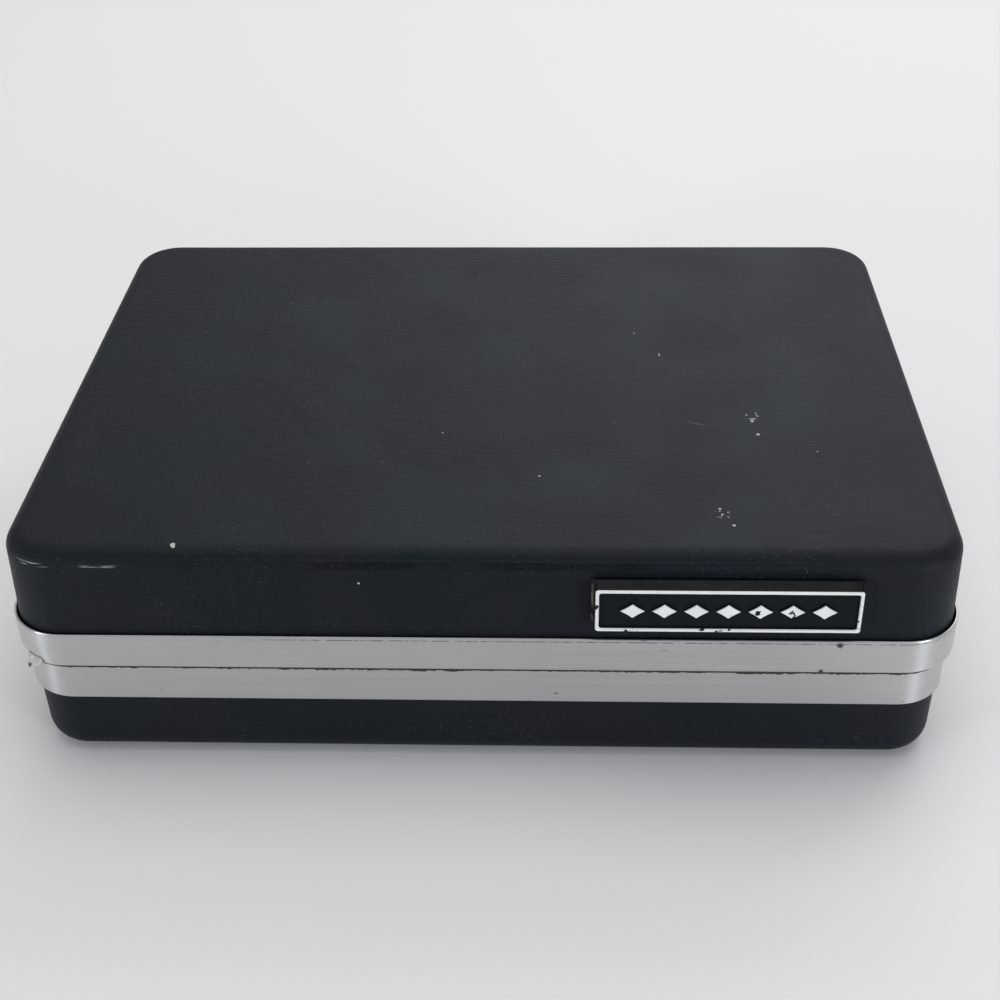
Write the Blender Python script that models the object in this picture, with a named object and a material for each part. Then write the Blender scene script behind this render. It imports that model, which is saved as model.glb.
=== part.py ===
"""An electric shaver packed in its hinged travel case.

The case is a low clamshell: a leatherette-covered lid and base, each edged with a metal band, hinged at the back
and held shut by a spring catch. The shaver lies on its back in a moulded insert on the left, and the pocket on the
right takes its cord. +X is to the right, +Y to the back and +Z up. The origin is under the middle of the case.

Everything in the shaver is modelled in the shaver's own frame, whose origin is the middle of its casing: +Y points
to its shaving head and +Z to its front face. SHAVER_PLACE puts that frame in the case.
"""

from math import cos, copysign, pi, radians, sin, sqrt

import bmesh
import bpy
from mathutils import Matrix, Vector

MM = 0.001


def mm(*values):
    """Millimetres as metres: one number, or a tuple of them."""
    scaled = tuple(value * MM for value in values)
    return scaled[0] if len(scaled) == 1 else scaled


# ------------------------------------------------------------------ driving dimensions, case
CASE_HEIGHT = mm(50.0)
LID_HALF = mm(90.0, 66.7)  # half width and half depth, outside the lid's covering at its rim
CORNER_RADIUS = mm(10.6)
BASE_STEP = mm(1.2)  # the base is smaller than the lid by this much all round
BASE_HALF = (LID_HALF[0] - BASE_STEP, LID_HALF[1] - BASE_STEP)
SPLIT_HEIGHT = mm(24.1)  # the plane where lid and base meet
TOP_EDGE_RADIUS = mm(3.7)
BOTTOM_EDGE_RADIUS = mm(5.0)
LID_DRAFT = mm(0.5)
BASE_DRAFT = mm(0.4)
FIT_GAP = mm(0.3)  # between pieces that are glued, pressed or laid together
COVER_THICKNESS = mm(0.7)
SHELL_THICKNESS = mm(1.2)
LINER_THICKNESS = mm(0.8)
SHELL_INSET = COVER_THICKNESS + FIT_GAP
LINER_INSET = SHELL_INSET + SHELL_THICKNESS + FIT_GAP

BAND_SHEET = mm(0.5)
BAND_PROUD = mm(0.7)
BAND_FLANGE = mm(3.6)  # how far a band's turned-in edge reaches inside the covering
UPPER_BAND_TOP = mm(31.8)
LOWER_BAND_BOTTOM = mm(15.4)
HALF_SPLIT_GAP = mm(0.15)
LID_RIM = SPLIT_HEIGHT + HALF_SPLIT_GAP + BAND_SHEET + FIT_GAP
BASE_RIM = SPLIT_HEIGHT - HALF_SPLIT_GAP - BAND_SHEET - FIT_GAP

HINGE_AXIS_Y = mm(68.9)
HINGE_SPACING = mm(96.0)  # between the middles of the two hinges
HINGE_LENGTH = mm(28.0)
KNUCKLE_RADIUS = mm(1.2)
HINGE_PIN_RADIUS = mm(0.6)
HINGE_LEAF_SHEET = mm(0.6)
HINGE_LEAF_HEIGHT = mm(5.0)
KNUCKLE_GAP = mm(0.25)
RUNNING_CLEARANCE = mm(0.07)

NAMEPLATE_CENTRE = mm(45.55, 40.6)  # x and z
NAMEPLATE_BACK_HALF = mm(24.85, 5.0)
NAMEPLATE_FRONT_HALF = mm(24.15, 4.65)
NAMEPLATE_BACK_Y = mm(-66.85)
NAMEPLATE_FRONT_Y = mm(-70.1)
NAMEPLATE_RIM = mm(0.85)
NAMEPLATE_RECESS = mm(0.7)
LOZENGE_COUNT = 7
LOZENGE_PITCH = mm(5.8)
LOZENGE_HALF = mm(2.1, 1.45)
STUD_RADIUS = mm(0.8)
STUD_SPACING = mm(34.0)

MIRROR_HALF = mm(54.0, 39.0)
MIRROR_THICKNESS = mm(1.6)
MIRROR_FRAME_WIDTH = mm(4.0)
MIRROR_FRAME_LIP = mm(2.0)

TRAY_TOP = BASE_RIM - mm(0.25)
POCKET_FLOOR = mm(5.7)
SHAVER_POCKET = (mm(-74.5, -57.0), mm(-13.5, 59.0))  # two opposite corners, x and y
CORD_POCKET = (mm(-1.0, -18.0), mm(80.0, 57.0))
ACCESSORY_POCKET = (mm(-1.0, -57.0), mm(80.0, -24.0))
POCKET_RADIUS = mm(11.0)

# ------------------------------------------------------------------ driving dimensions, shaver
SHAVER_PLACE = mm(-44.0, 0.0, 23.0)
CASING_WALL = mm(2.0)
SECTION_POWER = 3.2  # a section is a superellipse, between an ellipse (2) and a rectangle
# Sections of the casing from its foot to the head: y, half width, half thickness.
CASING_SECTIONS = (
    mm(-54.5, 13.0, 9.0),
    mm(-53.2, 17.0, 11.3),
    mm(-49.5, 21.2, 13.6),
    mm(-40.0, 24.8, 15.6),
    mm(-20.0, 27.0, 16.7),
    mm(0.0, 28.0, 17.0),
    mm(20.0, 28.0, 16.6),
    mm(30.0, 27.4, 15.8),
    mm(34.0, 27.0, 15.2),
)
CASING_TOP = CASING_SECTIONS[-1][0]
CASING_SCREW_PLACE = mm(17.0, -42.0)
BOSS_RADIUS = mm(3.4)

HEAD_START = CASING_TOP + FIT_GAP
SKIRT_HALF = mm(24.6, 12.8)
SKIRT_WALL = mm(1.4)
SKIRT_END = mm(30.0)
HEAD_TOP = mm(45.2)
FOIL_CENTRE_Y = mm(42.5)
FOIL_RADIUS = mm(7.2)
FOIL_SHEET = mm(0.3)
FOIL_HALF_LENGTH = mm(21.5)
CUTTER_RADIUS = mm(6.7)
CUTTER_CORE_RADIUS = mm(4.6)
CUTTER_BLADES = 11
CUTTER_HALF_LENGTH = mm(19.0)
CUTTER_BLADE = mm(0.9)

SHAFT_RADIUS = mm(1.5)
SHAFT_ENDS = mm(-30.6, 17.4)
BEARING_RADIUS = mm(3.3)
CORE_ENDS = mm(-14.0, 2.0)
ARMATURE_RADIUS = mm(10.0)
ARMATURE_TEETH = 8
COMMUTATOR_Y = mm(-23.0)
COMMUTATOR_RADIUS = mm(4.2)
CRANK_RADIUS = mm(0.5)  # how far the eccentric's pin is off the shaft's axis
CRANK_PIN_RADIUS = mm(1.0)
LEVER_PIVOT_Y = mm(26.0)
LEVER_TIP_Y = mm(38.0)
LEVER_PIN_RADIUS = mm(1.2)

SWITCH_PLATE_HALF_WIDTH = mm(8.0)
SWITCH_PLATE_ENDS = mm(-30.0, -6.0)
SWITCH_PLATE_TOP = mm(16.9)
SWITCH_SLOT_HALF_WIDTH = mm(2.6)
SWITCH_SLOT_ENDS = mm(-25.2, -11.0)
SWITCH_BUTTON_ENDS = mm(-24.6, -16.2)

INLET_HALF = mm(10.0, 6.4)
INLET_ENDS = mm(-54.2, -45.0)
INLET_RECESS_HALF = mm(7.5, 4.0)
INLET_RECESS_FLOOR = mm(-46.5)
INLET_PIN_RADIUS = mm(1.2)
INLET_PIN_X = mm(3.0)

# ------------------------------------------------------------------ how finely round shapes are faceted
CORNER_STEPS = 5
EDGE_STEPS = 4
ROUND_STEPS = 24
SECTION_STEPS = 24


# ------------------------------------------------------------------ scene and materials
def clear_scene():
    for obj in list(bpy.data.objects):
        bpy.data.objects.remove(obj, do_unlink=True)


def finish(name, colour, roughness, metallic=0.0):
    made = bpy.data.materials.new(name)
    made.use_nodes = True
    shader = made.node_tree.nodes["Principled BSDF"]
    shader.inputs["Base Color"].default_value = (*colour, 1.0)
    shader.inputs["Roughness"].default_value = roughness
    shader.inputs["Metallic"].default_value = metallic
    return made


clear_scene()
LEATHERETTE = finish("leatherette", (0.012, 0.014, 0.016), 0.5)
BAND_METAL = finish("band_metal", (0.62, 0.62, 0.61), 0.32, 1.0)
SHELL_BOARD = finish("shell_board", (0.05, 0.045, 0.04), 0.8)
FLOCK = finish("flock", (0.20, 0.012, 0.018), 0.95)
NAMEPLATE_PLASTIC = finish("nameplate_plastic", (0.01, 0.012, 0.014), 0.35)
MIRROR = finish("mirror", (0.9, 0.9, 0.9), 0.03, 1.0)
CASING_PLASTIC = finish("casing_plastic", (0.016, 0.017, 0.02), 0.22)
INNER_PLASTIC = finish("inner_plastic", (0.30, 0.27, 0.22), 0.5)
CHROME = finish("chrome", (0.8, 0.8, 0.8), 0.08, 1.0)
STEEL = finish("steel", (0.5, 0.5, 0.5), 0.3, 1.0)
COPPER = finish("copper", (0.55, 0.22, 0.10), 0.35, 1.0)
IRON = finish("iron", (0.16, 0.16, 0.17), 0.5, 0.8)
BRASS = finish("brass", (0.60, 0.45, 0.16), 0.3, 1.0)
CARBON = finish("carbon", (0.02, 0.02, 0.02), 0.7)
LEAD_RUBBER = finish("lead_rubber", (0.03, 0.03, 0.03), 0.6)


# ------------------------------------------------------------------ objects and their parents
def pivot(name, place, parent=None):
    """An empty that a group of pieces hangs from. A moving group's pivot lies on its joint's axis."""
    empty = bpy.data.objects.new(name, None)
    bpy.context.scene.collection.objects.link(empty)
    empty.parent = parent
    empty.location = place
    return empty


def attach(obj, group):
    """Hangs obj from the group's pivot, with its shape still given in the frame that the pivot stands in."""
    if group is None:
        return obj
    obj.parent = group
    if group is not SHAVER:
        obj.matrix_parent_inverse = Matrix.Translation(-group.location)
    return obj


SHAVER = pivot("shaver", SHAVER_PLACE)
LID_AXIS = pivot("lid_axis", (0.0, HINGE_AXIS_Y, SPLIT_HEIGHT))
ARMATURE_AXIS = pivot("armature_axis", (0.0, 0.0, 0.0), SHAVER)
LEVER_AXIS = pivot("lever_axis", (0.0, LEVER_PIVOT_Y, 0.0), SHAVER)
CUTTER_WAY = pivot("cutter_way", (0.0, FOIL_CENTRE_Y, 0.0), SHAVER)
HEAD_WAY = pivot("head_way", (0.0, HEAD_START, 0.0), SHAVER)
SWITCH_WAY = pivot("switch_way", (0.0, sum(SWITCH_BUTTON_ENDS) / 2, SWITCH_PLATE_TOP), SHAVER)


def solid(name, points, faces, material, group=None):
    """A closed mesh object with its faces pointing out."""
    mesh = bpy.data.meshes.new(name)
    mesh.from_pydata([tuple(point) for point in points], [], faces)
    shape = bmesh.new()
    shape.from_mesh(mesh)
    bmesh.ops.recalc_face_normals(shape, faces=shape.faces)
    shape.to_mesh(mesh)
    shape.free()
    mesh.shade_smooth()
    mesh.set_sharp_from_angle(angle=radians(35))
    mesh.materials.append(material)
    obj = bpy.data.objects.new(name, mesh)
    bpy.context.scene.collection.objects.link(obj)
    return attach(obj, group)


def loft(name, rings, material, group=None, endless=False):
    """A skin over rings of equally many points. The end rings are capped, or joined to each other if endless."""
    count = len(rings[0])
    points = [point for ring in rings for point in ring]
    pairs = list(zip(range(len(rings)), range(1, len(rings))))
    if endless:
        pairs.append((len(rings) - 1, 0))
    faces = []
    for low, high in pairs:
        for k in range(count):
            after = (k + 1) % count
            faces.append((low * count + k, low * count + after, high * count + after, high * count + k))
    if not endless:
        faces.append(tuple(range(count)))
        faces.append(tuple(range((len(rings) - 1) * count, len(rings) * count)))
    return solid(name, points, faces, material, group)


def set_on(axis, place, point):
    """A point of a flat outline set at place along an axis: 'X' takes (y, z), 'Y' takes (x, z), 'Z' takes (x, y)."""
    u, v = point
    return {"X": (place, u, v), "Y": (u, place, v), "Z": (u, v, place)}[axis]


def prism(name, outline, axis, ends, material, group=None):
    """A flat outline extruded along an axis."""
    rings = [[set_on(axis, end, point) for point in outline] for end in ends]
    return loft(name, rings, material, group)


def tube(name, outer, inner, axis, ends, material, group=None):
    """An extruded outline with a hole, from two outlines of equally many points."""
    low, high = ends
    turns = ((outer, low), (outer, high), (inner, high), (inner, low))
    rings = [[set_on(axis, end, point) for point in outline] for outline, end in turns]
    return loft(name, rings, material, group, endless=True)


def circle(radius, centre=(0.0, 0.0), steps=ROUND_STEPS):
    turns = [2 * pi * k / steps for k in range(steps)]
    return [(centre[0] + radius * cos(a), centre[1] + radius * sin(a)) for a in turns]


def rectangle(half_u, half_v, centre=(0.0, 0.0)):
    u, v = centre
    return [(u - half_u, v - half_v), (u + half_u, v - half_v), (u + half_u, v + half_v), (u - half_u, v + half_v)]


def rounded_rectangle(half_u, half_v, radius, centre=(0.0, 0.0), steps=CORNER_STEPS):
    corners = ((1, 1, 0), (-1, 1, 1), (-1, -1, 2), (1, -1, 3))
    points = []
    for side_u, side_v, quarter in corners:
        for k in range(steps + 1):
            a = (quarter + k / steps) * pi / 2
            u = centre[0] + side_u * (half_u - radius) + radius * cos(a)
            v = centre[1] + side_v * (half_v - radius) + radius * sin(a)
            points.append((u, v))
    return points


def turned(name, profile, material, group=None, centre=(0.0, 0.0), axis="Y", steps=ROUND_STEPS, bored=False):
    """A shape turned about a line along an axis, from (place, radius) pairs. A bored one's profile is a loop."""
    rings = [[set_on(axis, place, point) for point in circle(radius, centre, steps)] for place, radius in profile]
    return loft(name, rings, material, group, endless=bored)


def helper(obj):
    obj.hide_render = True
    obj.display_type = "WIRE"
    return obj


def combine(obj, others, operation):
    for other in others:
        helper(other)
        step = obj.modifiers.new(other.name, "BOOLEAN")
        step.object = other
        step.operation = operation
        step.solver = "EXACT"
    return obj


def cut(obj, *cutters):
    return combine(obj, cutters, "DIFFERENCE")


def join(obj, *others):
    return combine(obj, others, "UNION")


# ------------------------------------------------------------------ case walls
def case_ring(half, inset, height):
    radius = CORNER_RADIUS - (LID_HALF[0] - half[0]) - inset
    flat = rounded_rectangle(half[0] - inset, half[1] - inset, radius)
    return [(x, y, height) for x, y in flat]


def wall_line(inset, end_height, rim_height, edge_radius, draft):
    """(inset, height) pairs down a wall that lies inset inside the covering, from its flat end to its rim."""
    way = copysign(1.0, rim_height - end_height)
    radius = edge_radius - inset
    flat = end_height + way * inset
    line = []
    for k in range(EDGE_STEPS + 1):
        a = k / EDGE_STEPS * pi / 2
        line.append((inset + draft + radius * (1 - sin(a)), flat + way * radius * (1 - cos(a))))
    return [*line, (inset, rim_height)]


def lid_line(inset):
    return wall_line(inset, CASE_HEIGHT, LID_RIM, TOP_EDGE_RADIUS, LID_DRAFT)


def base_line(inset, rim_height=BASE_RIM):
    return wall_line(inset, 0.0, rim_height, BOTTOM_EDGE_RADIUS, BASE_DRAFT)


def cup(name, half, outer, inner, material, group=None):
    """A shell closed at one end, between two wall lines."""
    rings = [case_ring(half, inset, height) for inset, height in [*outer, *reversed(inner)]]
    return loft(name, rings, material, group)


def band(name, half, free_edge, split_edge, material, group=None):
    """A metal band: an upright strip outside the covering, turned in over the rim at the split."""
    way = copysign(1.0, free_edge - split_edge)
    face, back = -BAND_PROUD, BAND_SHEET - BAND_PROUD
    ledge = split_edge + way * BAND_SHEET
    section = (
        (face, free_edge),
        (back, free_edge),
        (back, ledge),
        (BAND_FLANGE, ledge),
        (BAND_FLANGE, split_edge),
        (face, split_edge),
    )
    rings = [case_ring(half, inset, height) for inset, height in section]
    return loft(name, rings, material, group, endless=True)


def stud_holes(name, radius, ends):
    """Cutters for the two nameplate studs."""
    x, z = NAMEPLATE_CENTRE
    return [
        prism(f"{name}_{k}", circle(radius, (x + side * STUD_SPACING / 2, z), 12), "Y", ends, STEEL)
        for k, side in enumerate((-1, 1))
    ]


def build_lid():
    cover = cup("lid_cover", LID_HALF, lid_line(0.0), lid_line(COVER_THICKNESS), LEATHERETTE, LID_AXIS)
    inner = lid_line(SHELL_INSET + SHELL_THICKNESS)
    shell = cup("lid_shell", LID_HALF, lid_line(SHELL_INSET), inner, SHELL_BOARD, LID_AXIS)
    through = (NAMEPLATE_FRONT_Y, -LID_HALF[1] + LINER_INSET)
    holes = stud_holes("stud_hole", STUD_RADIUS + FIT_GAP, through)
    cut(cover, *holes)
    cut(shell, *holes)
    inner = lid_line(LINER_INSET + LINER_THICKNESS)
    liner = cup("lid_liner", LID_HALF, lid_line(LINER_INSET), inner, FLOCK, LID_AXIS)
    window_y = (-LID_HALF[1], -LID_HALF[1] + mm(6.0))
    window = prism("keeper_window", rectangle(*mm(7.0, 4.5), mm(0.0, 28.6)), "Y", window_y, FLOCK)
    cut(liner, window)
    split = SPLIT_HEIGHT + HALF_SPLIT_GAP
    band("upper_band", LID_HALF, UPPER_BAND_TOP, split, BAND_METAL, LID_AXIS)


def build_base():
    cup("base_cover", BASE_HALF, base_line(0.0), base_line(COVER_THICKNESS), LEATHERETTE)
    inner = base_line(SHELL_INSET + SHELL_THICKNESS)
    cup("base_shell", BASE_HALF, base_line(SHELL_INSET), inner, SHELL_BOARD)
    split = SPLIT_HEIGHT - HALF_SPLIT_GAP
    band("lower_band", BASE_HALF, LOWER_BAND_BOTTOM, split, BAND_METAL)


# ------------------------------------------------------------------ nameplate
def build_nameplate():
    """A black block on the lid's front, with a raised rim and a row of raised lozenges. It is also the thumb lift."""
    x, z = NAMEPLATE_CENTRE
    corner = mm(0.6)
    outlines = (
        (rounded_rectangle(*NAMEPLATE_BACK_HALF, corner, (x, z), 2), NAMEPLATE_BACK_Y),
        (rounded_rectangle(*NAMEPLATE_FRONT_HALF, corner, (x, z), 2), NAMEPLATE_FRONT_Y),
    )
    rings = [[set_on("Y", y, point) for point in outline] for outline, y in outlines]
    block = loft("nameplate", rings, NAMEPLATE_PLASTIC, LID_AXIS)
    floor = NAMEPLATE_FRONT_Y + NAMEPLATE_RECESS
    field = [half - NAMEPLATE_RIM for half in NAMEPLATE_FRONT_HALF]
    cut(block, prism("plate_recess", rectangle(*field, (x, z)), "Y", (NAMEPLATE_FRONT_Y - MM, floor), STEEL))
    cut(block, *stud_holes("stud_socket", STUD_RADIUS + FIT_GAP, (NAMEPLATE_BACK_Y + MM, mm(-68.4))))
    for k in range(LOZENGE_COUNT):
        middle = x + (k - (LOZENGE_COUNT - 1) / 2) * LOZENGE_PITCH
        join(block, lozenge(f"lozenge_{k}", (middle, z), (NAMEPLATE_FRONT_Y, floor + mm(0.5))))
    for side, where in ((-1, "left"), (1, "right")):
        outline = circle(STUD_RADIUS, (x + side * STUD_SPACING / 2, z), 12)
        prism(f"nameplate_stud_{where}", outline, "Y", mm(-68.1, -64.6), STEEL, LID_AXIS)


def lozenge(name, middle, ends):
    half_u, half_v = LOZENGE_HALF
    u, v = middle
    outline = [(u - half_u, v), (u, v - half_v), (u + half_u, v), (u, v + half_v)]
    return prism(name, outline, "Y", ends, NAMEPLATE_PLASTIC)


# ------------------------------------------------------------------ hinges
def hinge_part(name, middle, parts, plate, web, group=None):
    """A hinge leaf: a plate along the whole hinge, with webs and knuckles over some fifths of its length."""
    start = middle - HINGE_LENGTH / 2
    leaf = prism(name, plate, "X", (start, start + HINGE_LENGTH), BAND_METAL, group)
    piece = HINGE_LENGTH / 5
    for k in parts:
        inset = KNUCKLE_GAP / 2
        ends = (start + k * piece + inset, start + (k + 1) * piece - inset)
        barrel = circle(KNUCKLE_RADIUS, (HINGE_AXIS_Y, SPLIT_HEIGHT), 16)
        join(leaf, prism(f"{name}_web_{k}", web, "X", ends, BAND_METAL))
        join(leaf, prism(f"{name}_knuckle_{k}", barrel, "X", ends, BAND_METAL))
    bore = circle(HINGE_PIN_RADIUS + RUNNING_CLEARANCE, (HINGE_AXIS_Y, SPLIT_HEIGHT), 16)
    cut(leaf, prism(f"{name}_bore", bore, "X", (start - MM, start + HINGE_LENGTH + MM), BAND_METAL))
    return leaf


def build_hinges():
    """Two five-knuckle hinges welded to the backs of the bands: three knuckles on the base leaf, two on the lid's."""
    z = SPLIT_HEIGHT
    lid_face = LID_HALF[1] + BAND_PROUD + FIT_GAP
    base_face = BASE_HALF[1] + BAND_PROUD + FIT_GAP
    low, high = z + mm(2.0), z + mm(2.0) + HINGE_LEAF_HEIGHT
    lid_back = lid_face + HINGE_LEAF_SHEET
    lid_plate = [(lid_face, low), (lid_back, low), (lid_back, high), (lid_face, high)]
    lid_web = [
        (lid_face, z + mm(3.0)),
        (lid_face + mm(0.05), z + mm(0.9)),
        (HINGE_AXIS_Y, z + mm(0.8)),
        (HINGE_AXIS_Y + mm(0.35), z + mm(1.1)),
        (lid_back, z + mm(2.6)),
        (lid_back, z + mm(3.0)),
    ]
    high, low = z - mm(1.9), z - mm(1.9) - HINGE_LEAF_HEIGHT
    base_back = base_face + HINGE_LEAF_SHEET
    base_plate = [(base_face, low), (base_back, low), (base_back, high), (base_face, high)]
    base_web = [
        (base_face, z - mm(2.6)),
        (base_back, z - mm(2.6)),
        (HINGE_AXIS_Y + mm(0.2), z - mm(1.1)),
        (HINGE_AXIS_Y, z - mm(0.75)),
        (HINGE_AXIS_Y - mm(1.0), z - mm(0.2)),
        (base_face, z - mm(1.9)),
    ]
    for side, where in ((-1, "left"), (1, "right")):
        middle = side * HINGE_SPACING / 2
        hinge_part(f"base_hinge_leaf_{where}", middle, (0, 2, 4), base_plate, base_web)
        hinge_part(f"lid_hinge_leaf_{where}", middle, (1, 3), lid_plate, lid_web, LID_AXIS)
        ends = (middle - HINGE_LENGTH / 2 - mm(0.4), middle + HINGE_LENGTH / 2 + mm(0.4))
        outline = circle(HINGE_PIN_RADIUS, (HINGE_AXIS_Y, SPLIT_HEIGHT), 16)
        prism(f"hinge_pin_{where}", outline, "X", ends, STEEL)


# ------------------------------------------------------------------ catch
def ribbon(centreline, thickness):
    """The outline of a bent strip, from its centreline."""
    line = [Vector(point) for point in centreline]
    sides = ([], [])
    for k, point in enumerate(line):
        along = (line[min(k + 1, len(line) - 1)] - line[max(k - 1, 0)]).normalized()
        normal = Vector((-along.y, along.x)) * thickness / 2
        sides[0].append(tuple(point + normal))
        sides[1].append(tuple(point - normal))
    return [*sides[0], *reversed(sides[1])]


def build_catch():
    """A leaf spring on the base's front wall, whose nose snaps over the lip of a keeper on the lid's."""
    centreline = (
        mm(-62.72, 8.0),
        mm(-62.72, 14.5),
        mm(-61.35, 18.5),
        mm(-61.35, 25.6),
        mm(-61.95, 26.7),
        mm(-62.68, 27.5),
        mm(-62.15, 28.4),
        mm(-61.35, 29.4),
    )
    prism("catch_spring", ribbon(centreline, mm(0.45)), "X", mm(-5.0, 5.0), STEEL)
    keeper = [
        mm(-64.2, LID_RIM / MM + 0.1),
        mm(-62.45, LID_RIM / MM + 0.1),
        mm(-62.45, 26.0),
        mm(-63.5, 26.0),
        mm(-63.5, 32.0),
        mm(-64.2, 32.0),
    ]
    prism("catch_keeper", keeper, "X", mm(-5.5, 5.5), STEEL, LID_AXIS)


# ------------------------------------------------------------------ mirror
def build_mirror():
    """A mirror in the lid, held against the liner by a rebated frame."""
    ceiling = CASE_HEIGHT - LINER_INSET - LINER_THICKNESS - FIT_GAP
    glass_top = ceiling - mm(0.5)
    glass_low = glass_top - MIRROR_THICKNESS
    frame_low = glass_low - FIT_GAP - mm(0.8)
    glass = rounded_rectangle(*MIRROR_HALF, mm(5.0), steps=3)
    prism("mirror_glass", glass, "Z", (glass_low, glass_top), MIRROR, LID_AXIS)
    reach = MIRROR_FRAME_WIDTH - MIRROR_FRAME_LIP
    section = (
        (reach, ceiling),
        (reach, frame_low),
        (-MIRROR_FRAME_LIP, frame_low),
        (-MIRROR_FRAME_LIP, glass_low - FIT_GAP),
        (FIT_GAP, glass_low - FIT_GAP),
        (FIT_GAP, ceiling),
    )
    rings = []
    for spread, height in section:
        outline = rounded_rectangle(MIRROR_HALF[0] + spread, MIRROR_HALF[1] + spread, mm(5.0) + spread, steps=3)
        rings.append([(x, y, height) for x, y in outline])
    loft("mirror_frame", rings, CHROME, LID_AXIS, endless=True)


# ------------------------------------------------------------------ insert tray
def pocket(name, corners, floor, radius=POCKET_RADIUS):
    """A cutter for a round-cornered pocket, open at the top, whose floor edge is eased."""
    (x0, y0), (x1, y1) = corners
    half = ((x1 - x0) / 2, (y1 - y0) / 2)
    centre = ((x0 + x1) / 2, (y0 + y1) / 2)
    ease = mm(2.5)
    rings = []
    for inset, height in ((ease, floor), (ease * 0.3, floor + ease * 0.3), (0.0, floor + ease), (0.0, CASE_HEIGHT)):
        outline = rounded_rectangle(half[0] - inset, half[1] - inset, radius - inset, centre, 4)
        rings.append([(x, y, height) for x, y in outline])
    return loft(name, rings, FLOCK)


def build_tray():
    """The flocked insert: a moulded block with a pocket for the shaver, one for its cord and one for small things."""
    line = base_line(LINER_INSET, TRAY_TOP)
    tray = loft("insert_tray", [case_ring(BASE_HALF, inset, height) for inset, height in line], FLOCK)
    cut(tray, pocket("shaver_pocket", SHAVER_POCKET, POCKET_FLOOR))
    cut(tray, pocket("cord_pocket", CORD_POCKET, POCKET_FLOOR))
    cut(tray, pocket("accessory_pocket", ACCESSORY_POCKET, POCKET_FLOOR))
    scoop = turned(
        "finger_scoop",
        (mm(11.0, 8.0), mm(12.0, 9.0), (CASE_HEIGHT, mm(10.0))),
        FLOCK,
        centre=(SHAVER_POCKET[1][0] - mm(1.5), mm(-8.0)),
        axis="Z",
        steps=20,
    )
    cut(tray, scoop)
    notch_y = (-LID_HALF[1], mm(-60.6))
    cut(tray, prism("catch_notch", rectangle(*mm(6.0, 12.0), mm(0.0, 18.5)), "Y", notch_y, FLOCK))


# ------------------------------------------------------------------ shaver casing
def section_ring(y, half_width, half_thickness, steps=SECTION_STEPS):
    """A superellipse across the shaver at y."""
    power = 2 / SECTION_POWER
    ring = []
    for k in range(steps):
        a = 2 * pi * (k + 0.5) / steps
        x = half_width * copysign(abs(cos(a)) ** power, cos(a))
        z = half_thickness * copysign(abs(sin(a)) ** power, sin(a))
        ring.append((x, y, z))
    return ring


def casing_cavity():
    """The room inside the casing, open at the head end, less the two screw bosses."""
    wall = CASING_WALL
    rings = [section_ring(y, half_x - wall, half_z - wall) for y, half_x, half_z in CASING_SECTIONS[2:]]
    foot_y, foot_x, foot_z = CASING_SECTIONS[1]
    first = section_ring(foot_y + mm(1.2), foot_x - wall, foot_z - wall)
    _, top_x, top_z = CASING_SECTIONS[-1]
    last = section_ring(CASING_TOP + 5 * MM, top_x - wall, top_z - wall)
    cavity = loft("casing_cavity", [first, *rings, last], CASING_PLASTIC, SHAVER)
    x, y = CASING_SCREW_PLACE
    for side in (-1, 1):
        post = circle(BOSS_RADIUS, (side * x, y), 12)
        cut(cavity, prism(f"boss_{side}", post, "Z", mm(-25.0, 25.0), CASING_PLASTIC, SHAVER))
    return helper(cavity)


def casing_half(name, way, cavity, material):
    """The front (way 1) or back (way -1) half of the casing, with the openings that both halves share."""
    shape = loft(name, [section_ring(*section) for section in CASING_SECTIONS], material, SHAVER)
    cut(shape, cavity)
    far, parting = way * mm(-25.0), way * mm(0.15)
    ends = (min(far, parting), max(far, parting))
    cut(shape, prism(f"{name}_parting", rectangle(*mm(40.0, 70.0)), "Z", ends, material, SHAVER))
    inlet = rectangle(INLET_HALF[0] + FIT_GAP, INLET_HALF[1] + FIT_GAP)
    cut(shape, prism(f"{name}_inlet", inlet, "Y", mm(-60.0, -49.0), material, SHAVER))
    for side in (-1, 1):
        ends = sorted((side * mm(20.0), side * mm(32.0)))
        window = rectangle(*mm(2.8, 3.8), mm(26.2, 0.0))
        cut(shape, prism(f"{name}_window_{side}", window, "X", ends, material, SHAVER))
    return shape


def build_casing():
    cavity = casing_cavity()
    front = casing_half("shaver_front_cover", 1, cavity, CASING_PLASTIC)
    back = casing_half("shaver_back_cover", -1, cavity, CASING_PLASTIC)
    low, high = SWITCH_PLATE_ENDS
    seat_half = (SWITCH_PLATE_HALF_WIDTH + FIT_GAP, (high - low) / 2 + FIT_GAP)
    seat = rounded_rectangle(*seat_half, mm(2.3), (0.0, (low + high) / 2), 3)
    seat_ends = (SWITCH_PLATE_TOP - mm(1.3), mm(25.0))
    cut(front, prism("switch_seat", seat, "Z", seat_ends, CASING_PLASTIC, SHAVER))
    cut(front, switch_slot("casing_switch_slot"))
    x, y = CASING_SCREW_PLACE
    for side, where in ((-1, "left"), (1, "right")):
        centre = (side * x, y)
        hole = circle(mm(1.5), centre, 12)
        recess = circle(mm(2.6), centre, 16)
        cut(front, prism(f"thread_hole_{where}", hole, "Z", mm(-1.0, 8.0), STEEL, SHAVER))
        cut(back, prism(f"screw_hole_{where}", hole, "Z", mm(-25.0, 1.0), STEEL, SHAVER))
        cut(back, prism(f"screw_recess_{where}", recess, "Z", mm(-25.0, -10.0), STEEL, SHAVER))
        profile = (mm(-11.8, 2.0), mm(-11.4, 2.3), mm(-10.3, 2.3), mm(-10.3, 1.2), mm(7.0, 1.2), mm(7.6, 0.7))
        turned(f"casing_screw_{where}", profile, STEEL, SHAVER, centre, "Z", 16)


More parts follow.
